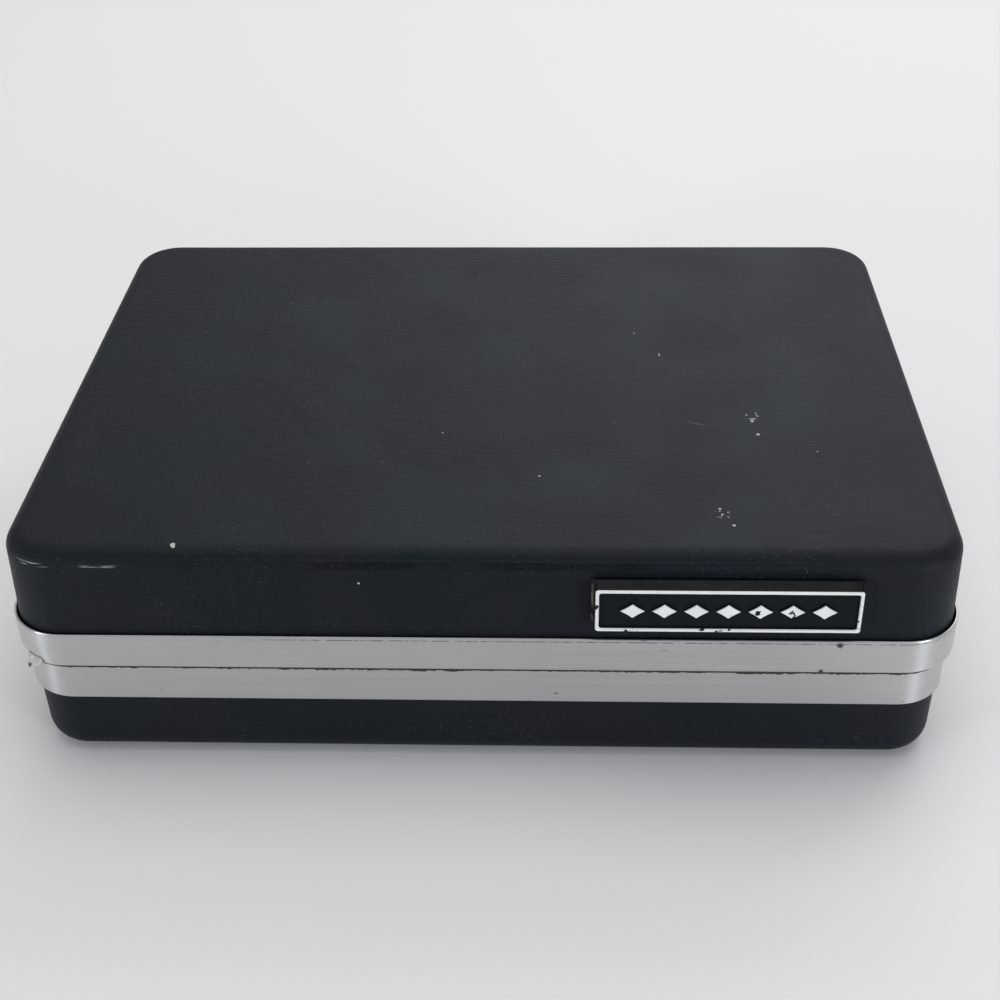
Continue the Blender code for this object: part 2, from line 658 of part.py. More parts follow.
def switch_slot(name):
    low, high = SWITCH_SLOT_ENDS
    outline = rectangle(SWITCH_SLOT_HALF_WIDTH, (high - low) / 2, (0.0, (low + high) / 2))
    return prism(name, outline, "Z", mm(5.0, 25.0), STEEL, SHAVER)


# ------------------------------------------------------------------ switch and release buttons
def build_switch():
    low, high = SWITCH_PLATE_ENDS
    outline = rounded_rectangle(SWITCH_PLATE_HALF_WIDTH, (high - low) / 2, mm(2.0), (0.0, (low + high) / 2), 3)
    ends = (SWITCH_PLATE_TOP - MM, SWITCH_PLATE_TOP)
    cut(prism("switch_plate", outline, "Z", ends, BAND_METAL, SHAVER), switch_slot("plate_switch_slot"))
    cap, stem, foot = mm(5.5, 2.2, 3.6)
    heights = [SWITCH_PLATE_TOP + mm(rise) for rise in (0.3, 1.5)]
    below = mm(12.7, 13.8)
    half = [
        (foot, below[0]),
        (foot, below[1]),
        (stem, below[1]),
        (stem, heights[0]),
        (cap, heights[0]),
        (cap, heights[1] - mm(0.5)),
        (cap - mm(0.5), heights[1]),
    ]
    outline = [*half, *[(-x, z) for x, z in reversed(half)]]
    button = prism("switch_button", outline, "Y", SWITCH_BUTTON_ENDS, CASING_PLASTIC, SWITCH_WAY)
    middle = sum(SWITCH_BUTTON_ENDS) / 2
    for k in (-1, 0, 1):
        groove = rectangle(mm(0.45), mm(0.5), (middle + k * mm(2.0), heights[1] + mm(0.1)))
        cut(button, prism(f"switch_groove_{k}", groove, "X", mm(-7.0, 7.0), STEEL, SHAVER))
    contact = (mm(-26.1, 10.9), mm(-23.6, 11.6), mm(-20.0, 12.2), mm(-17.0, 11.6), mm(-15.2, 10.6))
    prism("switch_contact", ribbon(contact, mm(0.3)), "X", mm(-2.0, 2.0), BRASS, SHAVER)


def build_release_buttons():
    """Two side buttons that let go of the head when pressed in. Each is a pad with a wider flange inside the wall."""
    for side, where in ((-1, "left"), (1, "right")):
        way = pivot(f"release_way_{where}", (side * mm(26.0), mm(26.2), 0.0), SHAVER)
        rings = []
        for x, half_y, half_z in (
            mm(22.4, 3.4, 4.4),
            mm(23.8, 3.4, 4.4),
            mm(23.8, 2.5, 3.5),
            mm(28.2, 2.5, 3.5),
            mm(28.7, 2.0, 3.0),
        ):
            outline = rounded_rectangle(half_y, half_z, mm(0.8), mm(26.2, 0.0), 2)
            rings.append([(side * x, y, z) for y, z in outline])
        loft(f"release_button_{where}", rings, CHROME, way)


# ------------------------------------------------------------------ mains inlet and leads
def build_inlet():
    recess_ends = (INLET_ENDS[0] - MM, INLET_RECESS_FLOOR)
    block = prism("inlet_block", rectangle(*INLET_HALF), "Y", INLET_ENDS, INNER_PLASTIC, SHAVER)
    recess = rounded_rectangle(*INLET_RECESS_HALF, INLET_RECESS_HALF[1] * 0.9, steps=4)
    cut(block, prism("inlet_recess", recess, "Y", recess_ends, INNER_PLASTIC, SHAVER))
    for side, where in ((-1, "left"), (1, "right")):
        centre = (side * INLET_PIN_X, 0.0)
        hole = circle(INLET_PIN_RADIUS + FIT_GAP, centre, 16)
        cut(block, prism(f"inlet_hole_{where}", hole, "Y", mm(-50.0, -40.0), INNER_PLASTIC, SHAVER))
        radius = INLET_PIN_RADIUS
        profile = (mm(-53.2, 0.6), (mm(-52.4), radius), (mm(-42.6), radius))
        turned(f"inlet_pin_{where}", profile, BRASS, SHAVER, centre, steps=16)
        lead_wire(f"lead_wire_{where}", side)


def smooth_line(points, between):
    """Points along a Catmull-Rom curve through the given points."""
    line = [Vector(point) for point in points]
    ends = [line[0] * 2 - line[1], *line, line[-1] * 2 - line[-2]]
    found = []
    for k in range(1, len(ends) - 2):
        a, b, c, d = ends[k - 1 : k + 3]
        for step in range(between):
            t = step / between
            found.append(
                0.5 * (2 * b + (c - a) * t + (2 * a - 5 * b + 4 * c - d) * t**2 + (3 * b - a - 3 * c + d) * t**3)
            )
    return [*found, line[-1]]


def lead_wire(name, side):
    """A lead inside the casing, from an inlet pin through the lower plate to a brush holder."""
    route = (
        mm(3.0, -42.2, 0.0),
        mm(3.4, -39.5, 0.0),
        mm(8.0, -36.0, 0.0),
        mm(13.6, -33.2, 0.0),
        mm(15.5, -29.6, 0.0),
        mm(15.6, -26.4, 0.0),
        mm(15.2, -24.0, 0.0),
        mm(13.2, -23.0, 0.0),
    )
    points = smooth_line([(side * x, y, z) for x, y, z in route], 2)
    curve = bpy.data.curves.new(name, "CURVE")
    curve.dimensions = "3D"
    curve.bevel_depth = mm(0.6)
    curve.bevel_resolution = 1
    curve.use_fill_caps = True
    spline = curve.splines.new("POLY")
    spline.points.add(len(points) - 1)
    for made, point in zip(spline.points, points):
        made.co = (*point, 1.0)
    curve.materials.append(LEAD_RUBBER)
    obj = bpy.data.objects.new(name, curve)
    bpy.context.scene.collection.objects.link(obj)
    attach(obj, SHAVER)


# ------------------------------------------------------------------ motor
def bearing(name, ends):
    bore = SHAFT_RADIUS + RUNNING_CLEARANCE
    low, high = ends
    profile = ((low, bore), (low, BEARING_RADIUS), (high, BEARING_RADIUS), (high, bore))
    turned(name, profile, BRASS, SHAVER, bored=True)


def end_plate(name, half, ends):
    """A plate across the casing that carries a shaft bearing."""
    low, high = ends
    middle = (low + high) / 2
    rings = [section_ring(y, *half) for y in (low, high)]
    plate = loft(name, rings, INNER_PLASTIC, SHAVER)
    seat = circle(BEARING_RADIUS + FIT_GAP)
    reach = high - low
    return cut(plate, prism(f"{name}_seat", seat, "Y", (middle - reach, middle + reach), INNER_PLASTIC, SHAVER))


def build_motor_frame():
    top = end_plate("motor_top_plate", mm(25.4, 14.2), mm(13.5, 16.5))
    for side in (-1, 1):
        ends = sorted((side * mm(3.8), side * mm(6.2)))
        lug = rectangle(mm(4.0), mm(7.0), (0.0, mm(22.5)))
        join(top, prism(f"lever_lug_{side}", lug, "Z", ends, INNER_PLASTIC, SHAVER))
    lug_hole = circle(LEVER_PIN_RADIUS + FIT_GAP, (0.0, LEVER_PIVOT_Y), 16)
    cut(top, prism("lug_hole", lug_hole, "Z", mm(-8.0, 8.0), INNER_PLASTIC, SHAVER))
    bottom = end_plate("motor_bottom_plate", mm(23.2, 13.4), mm(-29.5, -26.5))
    for side in (-1, 1):
        passage = circle(mm(1.5), mm(side * 15.5, 0.0), 12)
        cut(bottom, prism(f"lead_hole_{side}", passage, "Y", mm(-31.0, -25.0), INNER_PLASTIC, SHAVER))
    bearing("top_bearing", mm(13.0, 16.6))
    bearing("bottom_bearing", mm(-30.0, -26.2))


def build_field():
    """The field core: a laminated frame round the armature, with a window each side for its coils."""
    core = prism("field_core", rounded_rectangle(*mm(22.0, 12.0, 4.0), steps=3), "Y", CORE_ENDS, IRON, SHAVER)
    reach = (CORE_ENDS[0] - MM, CORE_ENDS[1] + MM)
    cut(core, prism("core_bore", circle(ARMATURE_RADIUS + mm(0.5)), "Y", reach, IRON, SHAVER))
    for side, where in ((-1, "left"), (1, "right")):
        window = rectangle(*mm(1.5, 6.5), mm(side * 14.0, 0.0))
        cut(core, prism(f"core_window_{where}", window, "Y", reach, IRON, SHAVER))
        outer = rounded_rectangle(*mm(5.7, 10.9, 2.0), mm(side * 18.5, -6.0), 3)
        inner = rounded_rectangle(*mm(3.55, 8.3, 0.5), mm(side * 18.75, -6.0), 3)
        tube(f"field_coil_{where}", outer, inner, "Z", mm(-6.0, 6.0), COPPER, SHAVER)


def build_brushes():
    for side, where in ((-1, "left"), (1, "right")):
        centre = (COMMUTATOR_Y, 0.0)
        walls = rectangle(*mm(2.6, 2.6), centre), rectangle(*mm(2.0, 2.0), centre)
        ends = sorted((side * mm(5.6), side * mm(12.8)))
        tube(f"brush_holder_{where}", *walls, "X", ends, BRASS, SHAVER)
        ends = sorted((side * mm(4.5), side * mm(8.8)))
        prism(f"brush_{where}", rectangle(*mm(1.7, 1.7), centre), "X", ends, CARBON, SHAVER)
        coil_spring(f"brush_spring_{where}", side * mm(9.3), side * mm(12.2), centre)


def coil_spring(name, start, end, centre, radius=mm(1.2), wire=mm(0.22), turns=3, per_turn=10):
    """A small helical spring along X."""
    rings = []
    steps = turns * per_turn
    for k in range(steps + 1):
        a = 2 * pi * k / per_turn
        x = start + (end - start) * k / steps
        outward = Vector((0.0, cos(a), sin(a)))
        middle = Vector((x, centre[0], centre[1])) + outward * radius
        sideways = Vector((1.0, 0.0, 0.0))
        around = [2 * pi * j / 5 for j in range(5)]
        rings.append([middle + wire * (outward * cos(b) + sideways * sin(b)) for b in around])
    loft(name, rings, STEEL, SHAVER)


def build_armature():
    """The turning parts: shaft, toothed core, end windings, commutator and the eccentric at the head end."""
    low, high = SHAFT_ENDS
    nose = mm(0.4)
    profile = (
        (low, SHAFT_RADIUS - nose),
        (low + nose, SHAFT_RADIUS),
        (high - nose, SHAFT_RADIUS),
        (high, SHAFT_RADIUS - nose),
    )
    turned("motor_shaft", profile, STEEL, ARMATURE_AXIS)
    bore = SHAFT_RADIUS + FIT_GAP
    outline, hole = [], []
    shares = ((0.0, 0.55), (0.1, 0.86), (0.04, 1.0), (0.5, 1.0), (0.96, 1.0), (0.9, 0.86))
    for tooth in range(ARMATURE_TEETH):
        for share, reach in shares:
            a = 2 * pi * (tooth + share) / ARMATURE_TEETH
            outline.append((ARMATURE_RADIUS * reach * cos(a), ARMATURE_RADIUS * reach * sin(a)))
            hole.append((bore * cos(a), bore * sin(a)))
    tube("armature_core", outline, hole, "Y", CORE_ENDS, IRON, ARMATURE_AXIS)
    for where, near, far in (("bottom", mm(-14.3), mm(-19.8)), ("top", mm(2.3), mm(7.8))):
        span = far - near
        profile = ((near, bore), (near, mm(8.6)), (near + 0.5 * span, mm(8.3)), (far, mm(5.6)), (far, bore))
        turned(f"armature_winding_{where}", profile, COPPER, ARMATURE_AXIS, bored=True)
    low, high = COMMUTATOR_Y - mm(2.6), COMMUTATOR_Y + mm(2.6)
    profile = ((low, bore), (low, COMMUTATOR_RADIUS), (high, COMMUTATOR_RADIUS), (high, bore))
    turned("commutator", profile, COPPER, ARMATURE_AXIS, bored=True)
    disc = turned("eccentric", (mm(16.9, 2.6), mm(18.3, 2.6)), STEEL, ARMATURE_AXIS)
    crank = circle(CRANK_PIN_RADIUS, (0.0, CRANK_RADIUS), 16)
    join(disc, prism("crank_pin", crank, "Y", mm(18.0, 21.6), STEEL, SHAVER))
    seat = circle(SHAFT_RADIUS + RUNNING_CLEARANCE)
    cut(disc, prism("crank_seat", seat, "Y", mm(16.0, 17.6), STEEL, SHAVER))


# ------------------------------------------------------------------ drive lever, cutter and head
def arc(centre, radius, start, end, steps):
    """Points round an arc, with the angles in degrees."""
    found = []
    for k in range(steps + 1):
        a = radians(start + (end - start) * k / steps)
        found.append((centre[0] + radius * cos(a), centre[1] + radius * sin(a)))
    return found


def build_lever():
    """The rocking lever: its fork straddles the crank pin, and its round tip drives the cutter's carrier."""
    slot = CRANK_PIN_RADIUS + 2 * CRANK_RADIUS + mm(0.15)
    fork = mm(3.9)
    right = [
        (slot, mm(18.7)),
        (fork, mm(18.7)),
        (fork, LEVER_PIVOT_Y - mm(2.4)),
        *arc((0.0, LEVER_PIVOT_Y), mm(3.4), 0.0, 60.0, 3),
        (mm(1.2), LEVER_PIVOT_Y + mm(4.2)),
        (mm(1.2), LEVER_TIP_Y - mm(1.1)),
        *arc((0.0, LEVER_TIP_Y), mm(1.5), -20.0, 70.0, 3),
    ]
    left = [(-x, y) for x, y in reversed(right)]
    outline = [(slot, mm(22.0)), *right, *left, (-slot, mm(22.0))]
    lever = prism("drive_lever", outline, "Z", mm(-1.5, 1.5), STEEL, LEVER_AXIS)
    bore = circle(LEVER_PIN_RADIUS + RUNNING_CLEARANCE, (0.0, LEVER_PIVOT_Y), 16)
    cut(lever, prism("lever_bore", bore, "Z", mm(-3.0, 3.0), STEEL, SHAVER))
    pin = circle(LEVER_PIN_RADIUS, (0.0, LEVER_PIVOT_Y), 16)
    prism("lever_pivot_pin", pin, "Z", mm(-7.0, 7.0), STEEL, SHAVER)


def build_cutter():
    """The cutter under the foil: half-round blades on a half-round core, on a carrier that the lever drives."""
    carrier = prism("cutter_carrier", rectangle(*mm(15.0, 4.6)), "Y", mm(36.2, 41.2), INNER_PLASTIC, CUTTER_WAY)
    tip_slot = rectangle(mm(1.7), mm(2.2), (0.0, LEVER_TIP_Y - mm(0.3)))
    cut(carrier, prism("tip_slot", tip_slot, "Z", mm(-2.0, 2.0), STEEL, SHAVER))
    pitch = 2 * (CUTTER_HALF_LENGTH - CUTTER_BLADE / 2) / (CUTTER_BLADES - 1)
    rings = []
    for k in range(CUTTER_BLADES):
        middle = -CUTTER_HALF_LENGTH + CUTTER_BLADE / 2 + k * pitch
        faces = (middle - CUTTER_BLADE / 2, middle + CUTTER_BLADE / 2)
        if k > 0:
            rings.append(half_disc(CUTTER_CORE_RADIUS, faces[0]))
        rings += [half_disc(CUTTER_RADIUS, face) for face in faces]
        if k < CUTTER_BLADES - 1:
            rings.append(half_disc(CUTTER_CORE_RADIUS, faces[1]))
    loft("cutter_block", rings, STEEL, CUTTER_WAY)


def half_disc(radius, x):
    """A half disc across the shaver at x, with its flat side towards the casing."""
    flat = FOIL_CENTRE_Y - mm(0.9)
    edge = arc((FOIL_CENTRE_Y, 0.0), radius, 100.0, -100.0, 8)
    return [(x, max(y, flat), z) for y, z in edge]


def build_head():
    """The pull-off head: a chrome frame with a skirt that plugs into the casing, and the arched foil."""
    skirt_x, skirt_z = SKIRT_HALF
    inner_x, inner_z = skirt_x - SKIRT_WALL, skirt_z - SKIRT_WALL
    sections = (
        (HEAD_TOP, mm(23.6), mm(10.8)),
        (HEAD_TOP - mm(0.7), mm(24.9), mm(12.2)),
        (HEAD_TOP - mm(2.4), mm(26.0), mm(13.8)),
        (HEAD_TOP - mm(6.0), mm(26.7), mm(14.8)),
        (HEAD_START, mm(27.0), mm(15.2)),
        (HEAD_START, skirt_x, skirt_z),
        (SKIRT_END, skirt_x, skirt_z),
        (SKIRT_END, inner_x, inner_z),
        (mm(42.0), inner_x, inner_z),
        (HEAD_TOP - mm(1.3), inner_x - mm(0.8), inner_z - mm(0.8)),
    )
    frame = loft("head_frame", [section_ring(*section) for section in sections], CHROME, HEAD_WAY)
    slot = rectangle(FOIL_HALF_LENGTH + FIT_GAP, FOIL_RADIUS + FIT_GAP)
    cut(frame, prism("foil_slot", slot, "Y", mm(41.5, 47.0), CHROME, SHAVER))
    for side in (-1, 1):
        cheek = arc((FOIL_CENTRE_Y, 0.0), FOIL_RADIUS + mm(0.2), 73.0, -73.0, 8)
        near, far = FOIL_HALF_LENGTH + FIT_GAP, FOIL_HALF_LENGTH + mm(1.5)
        join(frame, prism(f"cheek_{side}", cheek, "X", sorted((side * near, side * far)), CHROME, SHAVER))
    outer = arc((FOIL_CENTRE_Y, 0.0), FOIL_RADIUS, 90.0, -90.0, 14)
    inner = arc((FOIL_CENTRE_Y, 0.0), FOIL_RADIUS - FOIL_SHEET, -90.0, 90.0, 14)
    foil_ends = (-FOIL_HALF_LENGTH, FOIL_HALF_LENGTH)
    prism("shaving_foil", [*outer, *inner], "X", foil_ends, STEEL, HEAD_WAY)


def main():
    build_lid()
    build_base()
    build_nameplate()
    build_hinges()
    build_catch()
    build_mirror()
    build_tray()
    build_casing()
    build_switch()
    build_release_buttons()
    build_inlet()
    build_motor_frame()
    build_field()
    build_brushes()
    build_armature()
    build_lever()
    build_cutter()
    build_head()


main()
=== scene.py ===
"""The looks of an electric shaver packed in its hinged travel case.

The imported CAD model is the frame, and every place here is in its metres: +X to the right, +Y to the back,
+Z up, with the origin under the middle of the closed case. Finely shaped pieces stand for the CAD nodes that
can be seen, and the nodes that stay get a finish of their own.
"""

from math import copysign, cos, pi, radians, sin

import bmesh
import bpy
from mathutils import Matrix, Vector, noise


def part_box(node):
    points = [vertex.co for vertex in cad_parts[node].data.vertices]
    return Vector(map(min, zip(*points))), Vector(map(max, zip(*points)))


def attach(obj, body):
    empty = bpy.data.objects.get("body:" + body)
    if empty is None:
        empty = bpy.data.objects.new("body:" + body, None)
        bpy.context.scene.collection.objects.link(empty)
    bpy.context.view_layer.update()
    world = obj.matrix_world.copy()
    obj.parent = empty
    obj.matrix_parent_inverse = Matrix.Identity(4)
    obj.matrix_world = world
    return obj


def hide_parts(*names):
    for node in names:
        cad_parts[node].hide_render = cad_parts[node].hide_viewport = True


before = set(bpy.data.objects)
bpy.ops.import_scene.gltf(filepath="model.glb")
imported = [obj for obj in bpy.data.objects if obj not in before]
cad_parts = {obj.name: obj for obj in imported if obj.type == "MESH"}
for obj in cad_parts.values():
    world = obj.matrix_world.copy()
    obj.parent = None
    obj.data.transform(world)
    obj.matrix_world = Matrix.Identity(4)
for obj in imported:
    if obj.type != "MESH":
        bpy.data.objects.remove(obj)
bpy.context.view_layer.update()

MM = 0.001


def mm(*values):
    """Millimetres as metres: one number, or a tuple of them."""
    scaled = tuple(value * MM for value in values)
    return scaled[0] if len(scaled) == 1 else scaled


def middle_of(node):
    low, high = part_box(node)
    return (low + high) / 2


# ------------------------------------------------------------------ places read from the frame
LID_LOW, LID_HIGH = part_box("lid_cover")
BASE_LOW, BASE_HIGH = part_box("base_cover")
LID_HALF = (LID_HIGH.x, LID_HIGH.y)
BASE_HALF = (BASE_HIGH.x, BASE_HIGH.y)
UPPER_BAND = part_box("upper_band")
LOWER_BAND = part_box("lower_band")
BAND_PROUD = UPPER_BAND[1].x - LID_HALF[0]
PLATE_LOW, PLATE_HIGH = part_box("nameplate")
PLATE_MIDDLE = (PLATE_LOW + PLATE_HIGH) / 2
PLATE_HALF = (PLATE_HIGH - PLATE_LOW) / 2
LINER_LOW, LINER_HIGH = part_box("lid_liner")
GLASS_LOW, GLASS_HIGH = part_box("mirror_glass")
GLASS_HALF = (GLASS_HIGH - GLASS_LOW) / 2
GLASS_FRAME_LOW, GLASS_FRAME_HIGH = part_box("mirror_frame")
TRAY_LOW, TRAY_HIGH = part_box("insert_tray")
HINGE_AXIS = middle_of("hinge_pin_left")
SHAVER_X, _, SHAVER_Z = middle_of("motor_shaft")
SHAVER = Vector((SHAVER_X, 0.0, SHAVER_Z))

# ------------------------------------------------------------------ shapes that the frame's boxes don't say
CORNER_RADIUS = mm(10.6)
TOP_EDGE_RADIUS = mm(3.7)
BOTTOM_EDGE_RADIUS = mm(5.0)
LID_DRAFT = mm(0.5)
BASE_DRAFT = mm(0.4)
COVER_THICKNESS = mm(0.7)
BAND_SHEET = mm(0.5)
BAND_FLANGE = mm(3.6)
LINER_THICKNESS = mm(0.8)
FIT_GAP = mm(0.3)
PLATE_FRONT_DRAFT = mm(0.7, 0.35)
PLATE_RIM = mm(0.62)
PLATE_RECESS = mm(0.7)
LOZENGE_COUNT = 7
LOZENGE_PITCH = mm(5.8)
LOZENGE_HALF = mm(2.1, 1.45)
GLASS_CORNER = mm(5.0)
KEEPER_WINDOW_HALF = mm(7.0, 4.5)  # the opening in the lining for the catch's keeper, in x and z
KEEPER_WINDOW_MIDDLE = mm(0.0, 28.6)
KEEPER_WINDOW_DEPTH = mm(6.0)

POCKET_FLOOR = mm(5.7)
SHAVER_POCKET = (mm(-74.5, -57.0), mm(-13.5, 59.0))
CORD_POCKET = (mm(-1.0, -18.0), mm(80.0, 57.0))
ACCESSORY_POCKET = (mm(-1.0, -57.0), mm(80.0, -24.0))
POCKET_RADIUS = mm(11.0)
SCOOP_CENTRE = (SHAVER_POCKET[1][0] - mm(1.5), mm(-8.0))
NOTCH_HALF = mm(6.0, 12.0)  # the notch behind the catch's spring, in x and z
NOTCH_MIDDLE = mm(0.0, 18.5)
NOTCH_BACK = mm(-60.6)

SECTION_POWER = 3.2
CASING_WALL = mm(2.0)
# Sections of the casing from its foot to the head: y, half width, half thickness, in the shaver's frame.
CASING_SECTIONS = (
    mm(-54.5, 13.0, 9.0),
    mm(-53.2, 17.0, 11.3),
    mm(-49.5, 21.2, 13.6),
    mm(-40.0, 24.8, 15.6),
    mm(-20.0, 27.0, 16.7),
    mm(0.0, 28.0, 17.0),
    mm(20.0, 28.0, 16.6),
    mm(30.0, 27.4, 15.8),
    mm(34.0, 27.0, 15.2),
)
HEAD_START = mm(34.3)
HEAD_TOP = mm(45.2)
FOIL_CENTRE_Y = mm(42.5)
FOIL_RADIUS = mm(7.2)
FOIL_SHEET = mm(0.3)
FOIL_HALF_LENGTH = mm(21.5)
# The head's skirt, from its shoulder to its inside: y, half width, half thickness.
SKIRT_SECTIONS = (
    mm(34.3, 24.6, 12.8),
    mm(30.2, 24.6, 12.8),
    mm(30.0, 24.4, 12.6),
    mm(30.0, 23.2, 11.4),
    mm(42.0, 23.2, 11.4),
    mm(43.9, 22.4, 10.6),
)
INLET_HOLE_HALF = mm(10.3, 6.7)
RELEASE_MIDDLE = mm(26.2, 0.0)  # y and z of the release buttons
RELEASE_WINDOW_HALF = mm(2.8, 3.8)
SWITCH_SEAT_HALF = mm(8.3, 12.3)
SWITCH_SEAT_MIDDLE = mm(0.0, -18.0)
SWITCH_SLOT_HALF = mm(2.6, 7.1)
SWITCH_SLOT_MIDDLE = mm(0.0, -18.1)
SCREW_PLACE = mm(17.0, -42.0)
SCREW_RECESS_RADIUS = mm(2.6)

# ------------------------------------------------------------------ camera and light
CAMERA_PLACE = mm(14.3, -300.4, 221.8)
CAMERA_PITCH = radians(34.22)
CAMERA_TURN = radians(2.45)
CAMERA_ROLL = radians(-1.08)
CAMERA_LENS = 57.8
SENSOR = 36.0
SKY_COLOUR = (0.95, 0.96, 1.0, 1.0)
SKY_STRENGTH = 0.46
# Soft boxes: place, size, power in watts and colour.
SOFT_BOXES = {
    "window": ((0.45, 1.15, 0.95), (1.5, 0.7), 8.5, (0.95, 0.96, 1.0)),
    "overhead": ((0.0, 0.10, 1.1), (0.9, 0.9), 4.0, (1.0, 0.99, 0.97)),
    "left_side": ((-0.78, -0.58, 0.16), (0.09, 0.26), 2.6, (0.84, 0.92, 1.0)),
    "right_side": ((0.66, -0.70, 0.18), (0.20, 0.30), 3.4, (0.84, 0.92, 1.0)),
}

PIECES = bpy.data.collections.new("looks")
bpy.context.scene.collection.children.link(PIECES)


# ------------------------------------------------------------------ finishes
class Finish:
    """A Principled material in the making. Its methods add nodes and give back their output sockets."""

    def __init__(self, name, colour, roughness, metallic=0.0, **sockets):
        self.material = bpy.data.materials.new(name)
        self.material.use_nodes = True
        self.tree = self.material.node_tree
        self.shader = self.tree.nodes["Principled BSDF"]
        self.put(self.shader.inputs["Base Color"], (*colour, 1.0))
        self.put(self.shader.inputs["Roughness"], roughness)
        self.put(self.shader.inputs["Metallic"], metallic)
        for socket, value in sockets.items():
            self.put(self.shader.inputs[socket.replace("_", " ")], value)
        self.place = self.add("ShaderNodeTexCoord").outputs["Object"]
        self.axes = self.add("ShaderNodeSeparateXYZ", {"Vector": self.place}).outputs

    def add(self, kind, inputs=None, **settings):
        node = self.tree.nodes.new(kind)
        for setting, value in settings.items():
            setattr(node, setting, value)
        for key, value in (inputs or {}).items():
            self.put(node.inputs[key], value)
        return node

    def put(self, socket, value):
        if isinstance(value, bpy.types.NodeSocket):
            self.tree.links.new(value, socket)
        else:
            socket.default_value = value

    def drive(self, socket, value):
        self.put(self.shader.inputs[socket], value)

    def noise(self, scale, detail=3.0):
        """Noise at a scale. Three scales, one for each axis, draw it out into streaks."""
        place = self.place
        if isinstance(scale, tuple):
            place = self.add("ShaderNodeMapping", {"Vector": place, "Scale": scale}).outputs[0]
            scale = 1.0
        return self.add("ShaderNodeTexNoise", {"Vector": place, "Scale": scale, "Detail": detail}).outputs[0]

    def patches(self, scale, detail, start, end, low=0.0, high=1.0):
        """Soft-edged patches: a noise stepped from low to high."""
        return self.step(self.noise(scale, detail), start, end, low, high)

    def cells(self, scale, vector=None, randomness=1.0):
        inputs = {"Vector": vector or self.place, "Scale": scale, "Randomness": randomness}
        return self.add("ShaderNodeTexVoronoi", inputs).outputs

    def math(self, operation, first, second=0.0):
        return self.add("ShaderNodeMath", {0: first, 1: second}, operation=operation).outputs[0]

    def times(self, *values):
        result = values[0]
        for value in values[1:]:
            result = self.math("MULTIPLY", result, value)
        return result

    def either(self, *values):
        result = values[0]
        for value in values[1:]:
            result = self.math("MAXIMUM", result, value)
        return result

    def step(self, value, start, end, low=0.0, high=1.0):
        """A smooth step from low, at start, to high, at end."""
        inputs = {"Value": value, "From Min": start, "From Max": end, "To Min": low, "To Max": high}
        return self.add("ShaderNodeMapRange", inputs, interpolation_type="SMOOTHSTEP").outputs[0]

    def between(self, axis, low, high, edge):
        """One where a coordinate is between low and high, fading to nothing over edge."""
        value = self.axes[axis]
        return self.times(self.step(value, low - edge, low), self.step(value, high + edge, high))

    def near(self, point, radius):
        """One at a point, fading to nothing at the radius."""
        node = self.add("ShaderNodeVectorMath", {0: self.place, 1: point}, operation="DISTANCE")
        return self.step(node.outputs["Value"], radius, radius * 0.3)

    def stroke(self, start, end, width):
        """One on a level line between two points, fading to nothing at its width and towards its ends."""
        start, end = Vector(start), Vector(end)
        length = (end - start).length
        along = (end - start) / length
        inputs = {0: self.place, 1: start}
        from_start = self.add("ShaderNodeVectorMath", inputs, operation="SUBTRACT").outputs[0]
        found = []
        for way in (along, Vector((-along.y, along.x, 0.0))):
            inputs = {0: from_start, 1: way}
            found.append(self.add("ShaderNodeVectorMath", inputs, operation="DOT_PRODUCT").outputs["Value"])
        run = self.times(self.step(found[0], 0.0, length * 0.3), self.step(found[0], length, length * 0.7))
        return self.times(run, self.step(self.math("ABSOLUTE", found[1]), width, width * 0.2))

    def mix(self, factor, first, second):
        node = self.add("ShaderNodeMix", {0: factor}, data_type="RGBA")
        for index, value in ((6, first), (7, second)):
            self.put(node.inputs[index], value if isinstance(value, bpy.types.NodeSocket) else (*value, 1.0))
        return node.outputs[2]

    def bump(self, height, distance, under=None):
        inputs = {"Height": height, "Distance": distance, "Strength": 1.0}
        if under is not None:
            inputs["Normal"] = under
        return self.add("ShaderNodeBump", inputs).outputs[0]

    def done(self, colour, roughness, normal):
        """The material, with its three main sockets driven."""
        self.drive("Base Color", colour)
        self.drive("Roughness", roughness)
        self.drive("Normal", normal)
        return self.material


def dust(made, clumps=(), flecks=()):
    """Pale flecks: a thin scatter everywhere, and clumps and single flecks, each a point and a radius."""
    cells = made.cells(230.0)
    chosen = made.add("ShaderNodeSeparateColor", {"Color": cells["Color"]}).outputs[0]
    size = made.patches(900.0, 3.0, 0.4, 0.7, 0.02, 0.06)
    found = [made.times(made.math("LESS_THAN", cells["Distance"], size), made.step(chosen, 0.93, 0.95))]
    for clump in clumps:
        found.append(made.times(made.near(*clump), made.patches(1100.0, 2.0, 0.60, 0.64)))
    ragged = made.noise(1600.0)
    for fleck in flecks:
        found.append(made.step(made.math("ADD", made.near(*fleck), ragged), 0.9, 1.05))
    return made.either(*found)


COOL_TINT = (0.88, 0.93, 1.0, 1.0)
